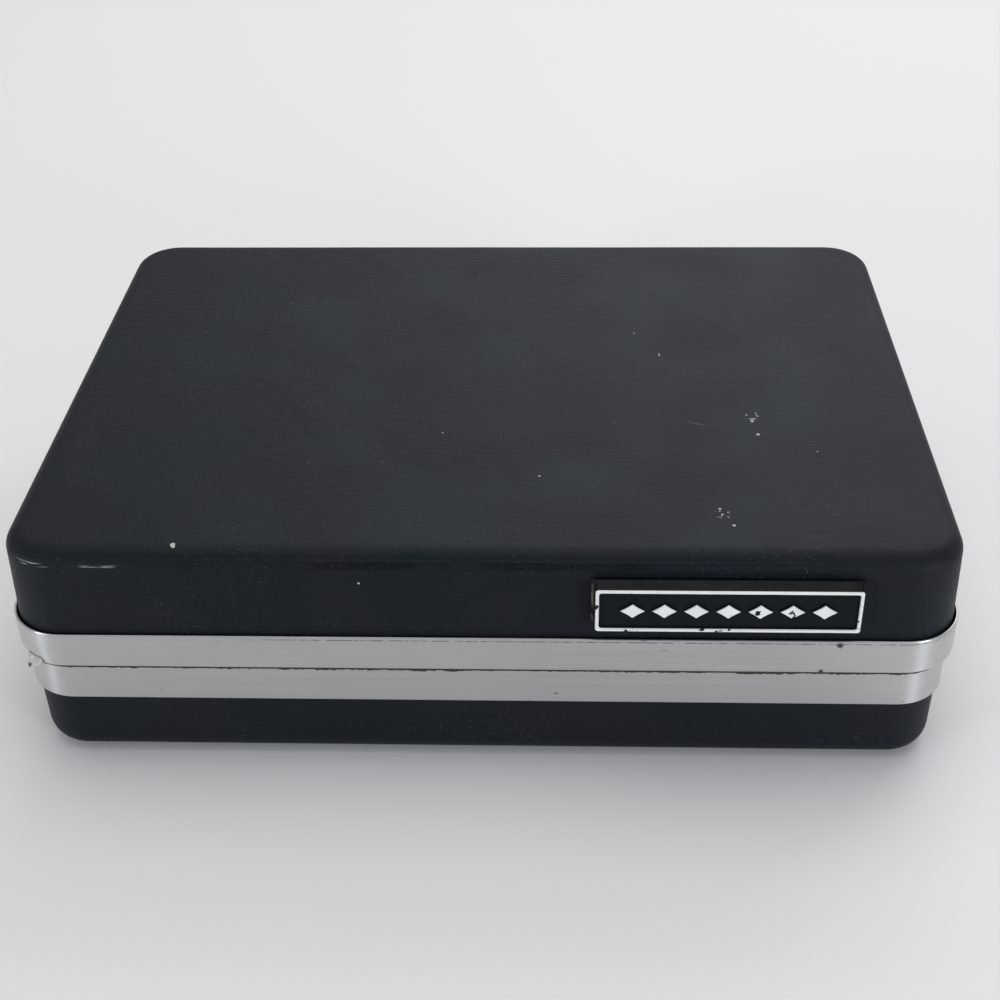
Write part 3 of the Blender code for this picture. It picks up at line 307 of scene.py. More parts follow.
# Wear on the lid's top: a point and a radius, or the two ends of a line and its width. The creases are also
# darkened a little as painted shade.
DARK_MARKS = ((mm(-43.3, 9.7, 50.0), mm(1.6)), (mm(-42.1, -1.8, 50.0), mm(1.1)))
LONG_CREASE = (mm(23.0, 48.0, 50.0), mm(46.0, 28.5, 50.0), mm(0.8))
DEEP_CREASE = (mm(38.0, 36.5, 50.0), mm(54.5, 15.5, 50.0), mm(0.7))
SCRATCH = (mm(40.0, -18.6, 50.0), mm(45.0, -20.5, 50.0), mm(0.16))
FLECK_CLUMPS = (
    (mm(54.5, -16.5, 50.0), mm(2.4)),
    (mm(45.6, -52.0, 50.0), mm(2.2)),
    (mm(36.8, 9.0, 50.0), mm(1.3)),
)
FLECKS = (
    (mm(31.4, 19.1, 50.0), mm(0.48)),
    (mm(54.1, -18.6, 50.0), mm(0.60)),
    (mm(54.8, -23.7, 50.0), mm(0.62)),
    (mm(65.9, -30.1, 50.0), mm(0.36)),
    (mm(10.9, -39.4, 50.0), mm(0.42)),
    (mm(45.0, -50.4, 50.0), mm(0.50)),
    (mm(47.2, -55.8, 50.0), mm(0.52)),
    (mm(-8.5, -1.1, 50.0), mm(0.36)),
    (mm(-56.3, -63.0, 50.0), mm(0.75)),
    (mm(-56.1, -63.6, 50.0), mm(0.6)),
)


def front_edge_wear_and_light(made):
    """Masks for the lid's worn front edge: where it is rubbed pale, partly wear and partly a painted
    highlight; where it puckers, which the leatherette darkens as painted shade; and its ridge.
    """
    front = LID_LOW.y
    # Where the edge is painted pale: worn coating and a painted highlight.
    rubbed_and_lit_ends = (
        ((mm(-83.0), front + mm(1.0), mm(47.4)), mm(4.8)),
        ((mm(-70.0), front, mm(47.0)), mm(4.2)),
    )
    rubs_and_highlight = made.times(
        made.either(*[made.near(*end) for end in rubbed_and_lit_ends]),
        made.patches((190.0, 700.0, 2600.0), 4.0, 0.50, 0.66),
        made.between("Z", mm(46.95), mm(47.35), mm(0.25)),
    )
    # Puckers: a bumped line along the front edge, darkened in the leatherette as painted shade.
    puckers = made.times(
        made.between("Y", front - mm(1.0), front + mm(2.0), mm(0.6)),
        made.between("X", mm(-58.0), mm(26.0), mm(10.0)),
        made.between("Z", mm(46.9), mm(47.9), mm(0.3)),
        made.patches((1900.0, 500.0, 2300.0), 2.0, 0.44, 0.54),
        made.patches(70.0, 2.0, 0.38, 0.55),
    )
    ridge = made.times(
        made.between("Y", front - mm(1.0), front + mm(2.5), mm(0.6)),
        made.between("Z", mm(48.15), mm(48.25), mm(0.35)),
    )
    return rubs_and_highlight, puckers, ridge


def leatherette(name, worn=False):
    """Black coated cloth with a fine pebble grain and painted glints. The worn one has the lid's scuffs and
    puckered edge, with painted shade in its puckers and creases and a painted highlight on its rubbed front
    edge.
    """
    made = Finish(name, (0.0045, 0.008, 0.010), 0.5, Specular_IOR_Level=0.18, Specular_Tint=COOL_TINT)
    tone = made.noise(42.0, 6.0)
    fine = made.noise(2900.0)
    colour = made.mix(made.step(tone, 0.38, 0.62), (0.0030, 0.0066, 0.0092), (0.0058, 0.0070, 0.0096))
    rough = made.math("ADD", made.step(tone, 0.3, 0.7, 0.47, 0.53), made.times(fine, 0.08))
    ripple = made.times(made.noise((210.0, 760.0, 760.0)), made.step(tone, 0.42, 0.6))
    grain = made.math("ADD", made.times(made.cells(1250.0)["Distance"], 0.8), made.times(fine, 0.9))
    normal = made.bump(ripple, mm(0.15), made.bump(grain, mm(0.05)))
    if worn:
        rubs_and_highlight, puckers, ridge = front_edge_wear_and_light(made)
        folds = made.either(made.times(made.stroke(*LONG_CREASE), 0.6), made.stroke(*DEEP_CREASE))
        crease = made.times(folds, made.patches(260.0, 3.0, 0.35, 0.6))
        normal = made.bump(puckers, mm(-0.20), made.bump(ridge, mm(0.12), normal))
        normal = made.bump(crease, mm(-0.10), normal)
        # The dark marks are stains; the darkening along the puckers and creases is painted shade in their
        # folds.
        marks = made.either(*[made.near(*mark) for mark in DARK_MARKS])
        dark = made.either(marks, made.times(puckers, 0.8), made.times(crease, 0.3))
        colour = made.mix(made.times(dark, 0.8), colour, (0.0015, 0.0018, 0.002))
        colour = made.mix(made.times(made.stroke(*SCRATCH), 0.3), colour, (0.30, 0.30, 0.30))
        # The rubbed front edge is painted pale: partly worn coating, partly a painted highlight.
        colour = made.mix(made.times(rubs_and_highlight, 0.9), colour, (0.32, 0.33, 0.35))
        flecks = dust(made, FLECK_CLUMPS, FLECKS)
        colour = made.mix(made.times(flecks, 0.85), colour, (0.55, 0.54, 0.50))
        rough = made.math("SUBTRACT", rough, made.times(rubs_and_highlight, 0.22))
        rough = made.math("ADD", rough, made.times(puckers, 0.3))
    else:
        colour = made.mix(made.times(dust(made), 0.7), colour, (0.42, 0.41, 0.38))
    # Painted glints: sparse pale specks in clusters, standing in for light catching the grain.
    painted_glints = made.times(made.patches(1900.0, 2.0, 0.60, 0.72), made.patches(55.0, 3.0, 0.4, 0.7), 0.22)
    return made.done(made.mix(painted_glints, colour, (0.13, 0.135, 0.15)), rough, normal)


def brushed_band(name, split=None, rim=None, gap=0.0, smears_and_shade=()):
    """Bright metal strip brushed along its length and lightly stained.

    Dark grime and painted shade fill the gap where the two bands meet, to the height gap from the edge at
    split; on the lower band this strip is partly the painted shadow of the upper band's overhang. A thin
    line of grime lies under the edge at rim. Each smear, a point and a radius, is a dark blot of the same
    colour: some are stains, and the torn corner's is painted shade on its shadowed side.
    """
    made = Finish(name, (0.60, 0.60, 0.59), 0.34, 1.0, Anisotropic=0.8, Anisotropic_Rotation=0.25)
    made.drive("Tangent", made.add("ShaderNodeTangent", direction_type="RADIAL", axis="Z").outputs[0])
    lines = made.noise((14.0, 14.0, 9000.0), 5.0)
    dirt_and_shade_marks = [made.times(made.patches(420.0, 5.0, 0.64, 0.72), made.patches(55.0, 3.0, 0.56, 0.70), 0.7)]
    ragged = made.noise(900.0, 6.0)
    if split is not None:
        # Grime and painted shade where the bands meet: a dark strip from the split, partly the shadow cast
        # by the overhang.
        uneven = made.math("ADD", ragged, made.noise(160.0))
        reach = made.step(uneven, 0.85, 1.3, gap * 0.86, gap * 1.2)
        away = made.math("ABSOLUTE", made.math("SUBTRACT", made.axes["Z"], split))
        grime_and_shade = made.step(made.math("SUBTRACT", away, reach), mm(0.04), mm(-0.04))
        facing = made.add("ShaderNodeTexCoord").outputs["Normal"]
        upright = made.add("ShaderNodeSeparateXYZ", {"Vector": facing}).outputs["Z"]
        flange = made.step(made.math("ABSOLUTE", upright), 0.985, 0.999, 1.0, 0.2)
        dirt_and_shade_marks.append(made.times(grime_and_shade, flange))
    if rim is not None:
        line = made.between("Z", rim - mm(0.02), rim + mm(0.02), mm(0.12))
        worn = made.step(made.axes["X"], mm(-52.0), mm(-30.0))
        dirt_and_shade_marks.append(made.times(line, worn, made.step(ragged, 0.36, 0.56)))
    # Dark blots: stains, and painted shade at the torn corner.
    for dark_spot in smears_and_shade:
        dirt_and_shade_marks.append(made.times(made.near(*dark_spot), made.step(ragged, 0.40, 0.52)))
    # Stains, the rim's grime line, and grime with painted shade, all in one dark colour.
    dirt_and_shade = made.either(*dirt_and_shade_marks)
    made.drive("Metallic", made.step(dirt_and_shade, 0.3, 1.0, 1.0, 0.1))
    metal = made.mix(made.step(lines, 0.35, 0.65), (0.51, 0.51, 0.505), (0.57, 0.57, 0.565))
    rough = made.math("ADD", made.patches(38.0, 4.0, 0.35, 0.7, 0.30, 0.38), made.times(dirt_and_shade, 0.3))
    return made.done(made.mix(dirt_and_shade, metal, (0.035, 0.030, 0.026)), rough, made.bump(lines, mm(0.008)))


def plate_finish():
    """Black moulded plastic whose raised faces carry worn white paint, with dust in the corners."""
    black = (0.006, 0.008, 0.009)
    made = Finish("plate_black", black, 0.34, Specular_IOR_Level=0.08)
    paint = made.times(
        made.step(made.axes["Y"], PLATE_LOW.y + mm(0.34), PLATE_LOW.y + mm(0.22)),
        made.patches(520.0, 3.0, 0.32, 0.36),
        made.patches((190.0, 400.0, 1800.0), 3.0, 0.30, 0.34),
    )
    settled = made.times(
        made.step(made.axes["X"], PLATE_LOW.x + mm(0.55), PLATE_LOW.x + mm(0.15)),
        made.patches((300.0, 900.0, 350.0), 4.0, 0.42, 0.60),
    )
    tone = made.mix(made.noise(300.0), (0.62, 0.62, 0.60), (0.86, 0.86, 0.84))
    colour = made.mix(paint, made.mix(made.times(settled, 0.75), black, (0.20, 0.17, 0.11)), tone)
    height = made.math("ADD", made.noise(1400.0, 2.0), made.times(paint, 0.9))
    return made.done(colour, made.patches(500.0, 3.0, 0.3, 0.7, 0.26, 0.46), made.bump(height, mm(0.03)))


def flock(name, deep, pale, grain=5200.0):
    """Short-napped flock, brushed unevenly, with a little lint."""
    made = Finish(name, deep, 0.95, Sheen_Weight=0.6, Sheen_Roughness=0.45, Sheen_Tint=(0.9, 0.5, 0.5, 1.0))
    nap = made.noise(grain, 4.0)
    swept = made.patches((34.0, 75.0, 75.0), 5.0, 0.35, 0.65)
    mixed = made.math("ADD", made.times(swept, 0.35), made.times(nap, 0.65))
    lint = made.times(made.patches(700.0, 3.0, 0.71, 0.75), 0.35)
    colour = made.mix(lint, made.mix(mixed, deep, pale), (0.45, 0.30, 0.30))
    height = made.math("ADD", nap, made.times(made.noise(650.0), 0.5))
    return made.done(colour, 0.95, made.bump(height, mm(0.16)))


def silvered_glass():
    """An old mirror, with a little foxing near its edge."""
    silver = (0.86, 0.88, 0.88)
    made = Finish("silvered_glass", silver, 0.03, 1.0, Coat_Weight=0.3)
    middle = middle_of("mirror_glass")
    near_edges = []
    for axis, centre, half in (("X", middle.x, GLASS_HALF.x), ("Y", middle.y, GLASS_HALF.y)):
        away = made.math("ABSOLUTE", made.math("SUBTRACT", made.axes[axis], centre))
        near_edges.append(made.step(away, half - mm(6.0), half - mm(1.0)))
    spots = made.times(made.either(*near_edges), made.patches(330.0, 5.0, 0.56, 0.68))
    made.drive("Base Color", made.mix(made.times(spots, 0.8), silver, (0.30, 0.26, 0.20)))
    haze = made.patches(45.0, 3.0, 0.4, 0.8, 0.02, 0.06)
    made.drive("Roughness", made.math("ADD", haze, made.times(spots, 0.3)))
    return made.material


def polished(name, colour, roughness, scratches=0.08):
    """Bright metal with hairline scratches and the haze of handling."""
    made = Finish(name, colour, roughness, 1.0)
    hair = made.patches((2400.0, 160.0, 900.0), 4.0, 0.60, 0.68)
    haze = made.patches(75.0, 4.0, 0.35, 0.7, roughness * 0.8, roughness * 1.5)
    scratched = made.mix(made.times(hair, 0.25), colour, tuple(0.6 * part for part in colour))
    rough = made.math("ADD", haze, made.times(hair, scratches))
    return made.done(scratched, rough, made.bump(made.noise(500.0), mm(0.003)))


def plastic(name, colour, roughness, texture=0.004, grain=1800.0, coat=0.0):
    """Moulded plastic: a faint texture, a slow change of tone, and a sheen that handling has made uneven."""
    made = Finish(name, colour, roughness, Coat_Weight=coat, Coat_Roughness=0.08)
    light = tuple(min(1.0, part * 1.3 + 0.002) for part in colour)
    hair = made.patches((300.0, 2600.0, 300.0), 3.0, 0.63, 0.70)
    haze = made.patches(90.0, 5.0, 0.3, 0.75, roughness * 0.8, roughness * 1.35)
    rough = made.math("ADD", haze, made.times(hair, 0.12))
    tone = made.mix(made.patches(40.0, 4.0, 0.3, 0.7), colour, light)
    return made.done(tone, rough, made.bump(made.noise(grain), mm(texture)))


def foil_metal():
    """Thin bright foil, pierced all over by a close grid of round holes, which are painted near black as the
    shade inside them. Its UVs are millimetres.
    """
    bright = (0.70, 0.70, 0.69)
    made = Finish("foil_metal", bright, 0.22, 1.0)
    flat = made.add("ShaderNodeUVMap", uv_map="millimetres").outputs[0]
    turned = made.add("ShaderNodeMapping", {"Vector": flat, "Rotation": (0.0, 0.0, pi / 4)}).outputs[0]
    hole = made.step(made.cells(1.45, turned, 0.0)["Distance"], 0.36, 0.29)
    made.drive("Metallic", made.step(hole, 0.0, 1.0, 1.0, 0.2))
    rough = made.patches(60.0, 3.0, 0.3, 0.7, 0.18, 0.30)
    pierced = made.bump(made.math("SUBTRACT", 1.0, hole), mm(0.06))
    # Painted shade: the holes are coloured near black for the dark space seen through them.
    return made.done(made.mix(hole, bright, (0.015, 0.015, 0.016)), rough, pierced)


def layered(name, colour, other, pitch, axis, roughness, metallic):
    """Fine even layers across an axis, as of wound wire or stacked sheet."""
    made = Finish(name, colour, roughness, metallic)
    wave = made.step(made.math("SINE", made.times(made.axes[axis], 2 * pi / pitch)), -1.0, 1.0)
    rough = made.patches(400.0, 3.0, 0.3, 0.7, roughness * 0.8, roughness * 1.2)
    return made.done(made.mix(made.times(wave, 0.8), other, colour), rough, made.bump(wave, pitch * 0.25))


def dull(name, colour, roughness, metallic=0.0, grain=900.0):
    """A plain working finish with a little mottling."""
    made = Finish(name, colour, roughness, metallic)
    dark = tuple(0.7 * part for part in colour)
    tone = made.mix(made.patches(grain * 0.2, 4.0, 0.3, 0.7), dark, colour)
    rough = made.patches(grain, 3.0, 0.3, 0.7, roughness * 0.85, roughness * 1.15)
    return made.done(tone, rough, made.bump(made.noise(grain * 2.0), mm(0.01)))


LID_LEATHERETTE = leatherette("lid_leatherette", worn=True)
BASE_LEATHERETTE = leatherette("base_leatherette")
# Dark blots on the upper band: the first, at the torn corner, is painted shade on its ragged edge; the other
# two are stains.
UPPER_SMEARS_AND_SHADE = (
    (mm(-84.4, -66.3, 24.6), mm(1.5)),
    (mm(67.0, -67.4, 30.9), mm(0.9)),
    (mm(64.0, -67.4, 24.6), mm(0.7)),
)
UPPER_RIM = UPPER_BAND[1].z - mm(0.65)
UPPER_BAND_METAL = brushed_band("upper_band_metal", UPPER_BAND[0].z, UPPER_RIM, mm(0.16), UPPER_SMEARS_AND_SHADE)
# The lower band's top 1.05 mm is darkened: grime and the painted shadow of the upper band's overhang.
LOWER_BAND_METAL = brushed_band("lower_band_metal", LOWER_BAND[1].z, None, mm(1.05))
# The tab's blot is painted shade on its shadowed tip.
TAB_METAL = brushed_band("tab_metal", smears_and_shade=((mm(-87.6, -64.6, 22.7), mm(1.6)),))
PLATE_BLACK = plate_finish()
TRAY_FLOCK = flock("tray_flock", (0.085, 0.004, 0.008), (0.24, 0.018, 0.028))
LINING_FLOCK = flock("lining_flock", (0.075, 0.004, 0.008), (0.20, 0.014, 0.024), 6000.0)
SILVERED_GLASS = silvered_glass()
CHROME = polished("chrome", (0.82, 0.83, 0.84), 0.07)
HINGE_METAL = polished("hinge_metal", (0.60, 0.60, 0.58), 0.30, 0.12)
PLAIN_STEEL = polished("plain_steel", (0.52, 0.52, 0.52), 0.28, 0.12)
SATIN_PLATE = brushed_band("satin_plate")
CASING_BLACK = plastic("casing_black", (0.010, 0.0105, 0.012), 0.20, 0.003, coat=0.35)
BUTTON_BLACK = plastic("button_black", (0.016, 0.016, 0.018), 0.38, 0.010)
BUFF_PLASTIC = plastic("buff_plastic", (0.34, 0.29, 0.21), 0.5, 0.012)
SHELL_BOARD = dull("shell_board", (0.05, 0.043, 0.036), 0.85)
FOIL_METAL = foil_metal()
CUTTER_STEEL = layered("cutter_steel", (0.56, 0.56, 0.57), (0.36, 0.36, 0.37), mm(0.5), "X", 0.26, 1.0)
WOUND_COPPER = layered("wound_copper", (0.62, 0.24, 0.11), (0.25, 0.08, 0.04), mm(0.35), "Y", 0.32, 1.0)
STACKED_IRON = layered("stacked_iron", (0.22, 0.22, 0.23), (0.10, 0.10, 0.105), mm(0.5), "Y", 0.5, 0.8)
BRASS = polished("brass", (0.66, 0.47, 0.17), 0.26, 0.1)
CARBON = dull("carbon", (0.022, 0.022, 0.024), 0.75)
LEAD_RUBBER = dull("lead_rubber", (0.035, 0.033, 0.032), 0.6)


def pair(name):
    return f"{name}_left", f"{name}_right"


KEPT_NODES = {
    SHELL_BOARD: ("lid_shell", "base_shell"),
    PLAIN_STEEL: (
        *pair("nameplate_stud"),
        "catch_spring",
        "catch_keeper",
        *pair("casing_screw"),
        *pair("brush_spring"),
        "lever_pivot_pin",
        "motor_shaft",
        "eccentric",
        "drive_lever",
    ),
    BRASS: (*pair("inlet_pin"), "switch_contact", "top_bearing", "bottom_bearing", *pair("brush_holder")),
    BUFF_PLASTIC: ("inlet_block", "motor_top_plate", "motor_bottom_plate", "cutter_carrier"),
    STACKED_IRON: ("field_core", "armature_core"),
    WOUND_COPPER: (*pair("field_coil"), "armature_winding_bottom", "armature_winding_top", "commutator"),
    CARBON: pair("brush"),
    LEAD_RUBBER: pair("lead_wire"),
    CUTTER_STEEL: ("cutter_block",),
}


def finish_kept_nodes():
    for material, nodes in KEPT_NODES.items():
        for node in nodes:
            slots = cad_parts[node].data.materials
            slots.clear()
            slots.append(material)


# ------------------------------------------------------------------ meshes
def shape(name, points, faces, material):
    """A closed mesh object with its faces pointing out, smooth but for its sharp edges."""
    mesh = bpy.data.meshes.new(name)
    mesh.from_pydata([tuple(point) for point in points], [], faces)
    grown = bmesh.new()
    grown.from_mesh(mesh)
    bmesh.ops.recalc_face_normals(grown, faces=grown.faces)
    grown.to_mesh(mesh)
    grown.free()
    mesh.materials.append(material)
    obj = bpy.data.objects.new(name, mesh)
    PIECES.objects.link(obj)
    return smoothed(obj)


def smoothed(obj, angle=38):
    """Shades an object smooth but for the edges sharper than an angle."""
    obj.data.shade_smooth()
    obj.data.set_sharp_from_angle(angle=radians(angle))
    return obj


def loft(name, rings, material, endless=False):
    """A skin over rings of equally many points. The end rings are capped, or joined up if it is endless."""
    count = len(rings[0])
    points = [point for ring in rings for point in ring]
    pairs = list(zip(range(len(rings)), range(1, len(rings))))
    if endless:
        pairs.append((len(rings) - 1, 0))
    faces = []
    for low, high in pairs:
        for k in range(count):
            after = (k + 1) % count
            faces.append((low * count + k, low * count + after, high * count + after, high * count + k))
    if not endless:
        faces.append(tuple(range(count)))
        faces.append(tuple(range((len(rings) - 1) * count, len(rings) * count)))
    return shape(name, points, faces, material)


def show(obj, body, slot, *nodes):
    """Puts a finished piece on its body, in place of the CAD nodes it stands for."""
    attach(obj, body)
    if nodes:
        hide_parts(*nodes)
    return obj


def set_on(axis, place, point):
    """A flat outline's point set at a place along an axis: (y, z) on X, (x, z) on Y or (x, y) on Z."""
    u, v = point
    return {"X": (place, u, v), "Y": (u, place, v), "Z": (u, v, place)}[axis]


def stack(name, axis, levels, material, endless=False, offset=(0.0, 0.0, 0.0)):
    """A loft over flat outlines. Each level is a place along the axis and the outline there."""
    rings = [[set_on(axis, place, point) for point in outline] for place, outline in levels]
    return loft(name, shifted(rings, offset), material, endless)


def prism(name, outline, axis, places, material, offset=(0.0, 0.0, 0.0)):
    """One outline drawn out through two or more places along an axis."""
    return stack(name, axis, [(place, outline) for place in places], material, offset=offset)


def shifted(rings, offset):
    return [[Vector(point) + Vector(offset) for point in ring] for ring in rings]


def circle(radius, centre=(0.0, 0.0), steps=40):
    turns = [2 * pi * k / steps for k in range(steps)]
    return [(centre[0] + radius * cos(a), centre[1] + radius * sin(a)) for a in turns]


def rectangle(half_u, half_v, centre=(0.0, 0.0)):
    corners = ((-1, -1), (1, -1), (1, 1), (-1, 1))
    return [(centre[0] + side_u * half_u, centre[1] + side_v * half_v) for side_u, side_v in corners]


def arc(centre, radius, start, end, steps):
    """Points round an arc, with the angles in degrees."""
    turns = [radians(start + (end - start) * k / steps) for k in range(steps + 1)]
    return [(centre[0] + radius * cos(a), centre[1] + radius * sin(a)) for a in turns]


def rounded_rectangle(half_u, half_v, radius, centre=(0.0, 0.0), corner_steps=8, side_steps=1):
    """A rectangle with round corners, whose sides can be cut into several lengths."""
    corners = []
    for side_u, side_v, quarter in ((1, 1, 0), (-1, 1, 90), (-1, -1, 180), (1, -1, 270)):
        middle = (centre[0] + side_u * (half_u - radius), centre[1] + side_v * (half_v - radius))
        corners.append(arc(middle, radius, quarter, quarter + 90, corner_steps))
    points = []
    for k, corner in enumerate(corners):
        points += corner
        start, end = corner[-1], corners[(k + 1) % 4][0]
        for j in range(1, side_steps):
            share = j / side_steps
            points.append((start[0] + (end[0] - start[0]) * share, start[1] + (end[1] - start[1]) * share))
    return points


def inset_outline(half, inset, radius, centre=(0.0, 0.0), corner_steps=8, side_steps=1):
    """A rounded rectangle set in from another, given by its half sizes and corner radius."""
    corner = max(radius - inset, mm(0.5))
    return rounded_rectangle(half[0] - inset, half[1] - inset, corner, centre, corner_steps, side_steps)


def cut(obj, *cutters):
    for cutter in cutters:
        carve(obj, cutter, "DIFFERENCE")
    return obj


def join(obj, *others):
    for other in others:
        carve(obj, other, "UNION")
    return obj


def carve(obj, other, operation):
    """Applies a Boolean at once and drops the helper, so that the final mesh is the object's own."""
    step = obj.modifiers.new("carve", "BOOLEAN")
    step.object = other
    step.operation = operation
    step.solver = "EXACT"
    apply_modifiers(obj)
    bpy.data.objects.remove(other, do_unlink=True)


def apply_modifiers(obj):
    graph = bpy.context.evaluated_depsgraph_get()
    graph.update()
    made = bpy.data.meshes.new_from_object(obj.evaluated_get(graph))
    obj.modifiers.clear()
    obj.data = made


def soften(obj, width):
    """Rounds the sharp edges."""
    step = obj.modifiers.new("soften", "BEVEL")
    step.width = width
    step.segments = 2
    step.limit_method = "ANGLE"
    step.angle_limit = radians(40)
    step.harden_normals = False
    apply_modifiers(obj)
    return smoothed(obj, 50)


# ------------------------------------------------------------------ case coverings
CORNER_STEPS = 14
SIDE_STEPS = 70


def case_ring(half, inset, height):
    radius = max(CORNER_RADIUS - (LID_HALF[0] - half[0]) - inset, mm(0.3))
    size = (half[0] - inset, half[1] - inset)
    flat = rounded_rectangle(*size, radius, corner_steps=CORNER_STEPS, side_steps=SIDE_STEPS)
    return [Vector((x, y, height)) for x, y in flat]


def evenly(start, end, steps):
    return [start + (end - start) * k / steps for k in range(steps + 1)]


def wall_line(inset, end_height, rim_height, edge_radius, draft, steps):
    """(inset, height) pairs from a wall's flat end, round its edge and down to its rim."""
    way = copysign(1.0, rim_height - end_height)
    radius = edge_radius - inset
    flat = end_height + way * inset
    line = [
        (inset + draft + radius * (1 - sin(a)), flat + way * radius * (1 - cos(a)))
        for a in evenly(0.0, pi / 2, steps)
    ]
    start_inset, start_height = line[-1]
    for share in evenly(0.0, 1.0, 8)[1:]:
        left = 1 - share
        line.append((start_inset * left + inset * share, start_height * left + rim_height * share))
    return line


def flat_line(half, start, height, steps):
    """(inset, height) pairs from the middle of a flat end out to its edge."""
    return [(inset, height) for inset in evenly(half[1] - mm(1.0), start, steps)]


def rough_noise(point, scale):
    return noise.noise(Vector(point) * scale)


def lid_relief(point):
    """The lid's top isn't dead flat: it dishes a little and ripples."""
    x, y, z = point
    if z < LID_HIGH.z - TOP_EDGE_RADIUS:
        bow = mm(0.07) * rough_noise(point, 45.0)
        return Vector((x + bow * copysign(min(1.0, abs(x) / LID_HALF[0]) ** 12, x), y, z))
    dish = mm(0.16) * (1 - (x / LID_HALF[0]) ** 4) * (1 - (y / LID_HALF[1]) ** 4)
    ripple = mm(0.05) * (1 + rough_noise(point, 38.0)) + mm(0.015) * (1 + rough_noise(point, 170.0))
    top = max(0.0, (z - LID_HIGH.z + TOP_EDGE_RADIUS) / TOP_EDGE_RADIUS)
    return Vector((x, y, z - top * (dish + ripple)))


def covering(name, half, outer, inner, material, relief=None):
    """A covering closed at one end, between its outer and inner lines."""
    rings = [case_ring(half, inset, height) for inset, height in outer]
    if relief:
        rings = [[relief(point) for point in ring] for ring in rings]
    rings += [case_ring(half, inset, height) for inset, height in reversed(inner)]
    return loft(name, rings, material)


def build_coverings():
    top, rim = LID_HIGH.z, LID_LOW.z
    wall = wall_line(0.0, top, rim, TOP_EDGE_RADIUS, LID_DRAFT, 9)
    outer = [*flat_line(LID_HALF, wall[0][0] + mm(1.2), top, 38), *wall]
    inner = wall_line(COVER_THICKNESS, top, rim, TOP_EDGE_RADIUS, LID_DRAFT, 4)
    lid = covering("lid_leatherette_cover", LID_HALF, outer, inner, LID_LEATHERETTE, lid_relief)
    show(lid, "lid", "leatherette", "lid_cover")
    foot, rim = BASE_LOW.z, BASE_HIGH.z
    wall = wall_line(0.0, foot, rim, BOTTOM_EDGE_RADIUS, BASE_DRAFT, 10)
    outer = [*flat_line(BASE_HALF, wall[0][0] + mm(1.2), foot, 6), *wall]
    inner = wall_line(COVER_THICKNESS, foot, rim, BOTTOM_EDGE_RADIUS, BASE_DRAFT, 4)
    base = covering("base_leatherette_cover", BASE_HALF, outer, inner, BASE_LEATHERETTE)
    show(base, "base", "leatherette", "base_cover")


# ------------------------------------------------------------------ metal bands
# Degrees round the front left corner: where the upper band's edge gets ragged, and the torn tab's two sides.
RAGGED_FROM, TAB_FROM, TAB_TO = 203.0, 226.0, 246.0


def corner_angle(point, half):
    """A point's direction from the middle of the front left corner's arc, in degrees, or None elsewhere."""
    x = point.x + half[0] - CORNER_RADIUS
    y = point.y + half[1] - CORNER_RADIUS
    if x > mm(3.0) or y > mm(3.0):
        return None
    return (Vector((-1.0, 0.0)).angle_signed(Vector((x, y))) * -180 / pi) % 360 + 180


def torn_edge(point, share):
    """Bends the upper band's ragged lower edge up and in. share is 1 at the edge and 0 well above it."""
    angle = corner_angle(point, LID_HALF)
    if angle is None or share == 0.0 or not RAGGED_FROM < angle < TAB_TO:
        return point
    outward = Vector((cos(radians(angle)), sin(radians(angle)), 0.0))
    middle = (RAGGED_FROM + TAB_TO) / 2
    fade = 1 - (abs(angle - middle) / (TAB_TO - middle)) ** 3
    ragged = 0.6 + 0.8 * noise.noise(Vector((angle * 0.23, 3.0, 0.0)))
    x, y, z = point
    return Vector((x, y, z + mm(1.0) * fade * ragged * share)) - outward * mm(0.25) * fade * share


def build_torn_tab():
    """A small tongue of the upper band, torn at its left side, that hangs below the edge and curls out."""
    low = UPPER_BAND[0].z
    centre = (CORNER_RADIUS - LID_HALF[0], CORNER_RADIUS - LID_HALF[1])
    face = CORNER_RADIUS + BAND_PROUD
    sheet = mm(0.28)
    rings = []
    for share in evenly(0.0, 1.0, 12):
        angle = radians(TAB_FROM + (TAB_TO - TAB_FROM) * share)
        ragged = 1 + 0.35 * noise.noise(Vector((share * 5.0, 1.0, 0.0)))
        drop = mm(2.1) * (1 - share) ** 0.7 * ragged + mm(0.15)
        outer, inner = [], []
        for fall in evenly(0.0, 1.0, 8):
            curl = mm(0.75) * (1 - share) * fall**2 + mm(0.12) * sin(pi * fall)
            height = low + mm(0.9) - (drop + mm(0.9)) * fall
            for side, radius in ((outer, face - mm(0.05) + curl), (inner, face - mm(0.05) - sheet + curl)):
                x, y = centre[0] + radius * cos(angle), centre[1] + radius * sin(angle)
                side.append(Vector((x, y, height)))
        rings.append([*outer, *reversed(inner)])
    show(loft("torn_tab", rings, TAB_METAL), "lid", "band_metal")


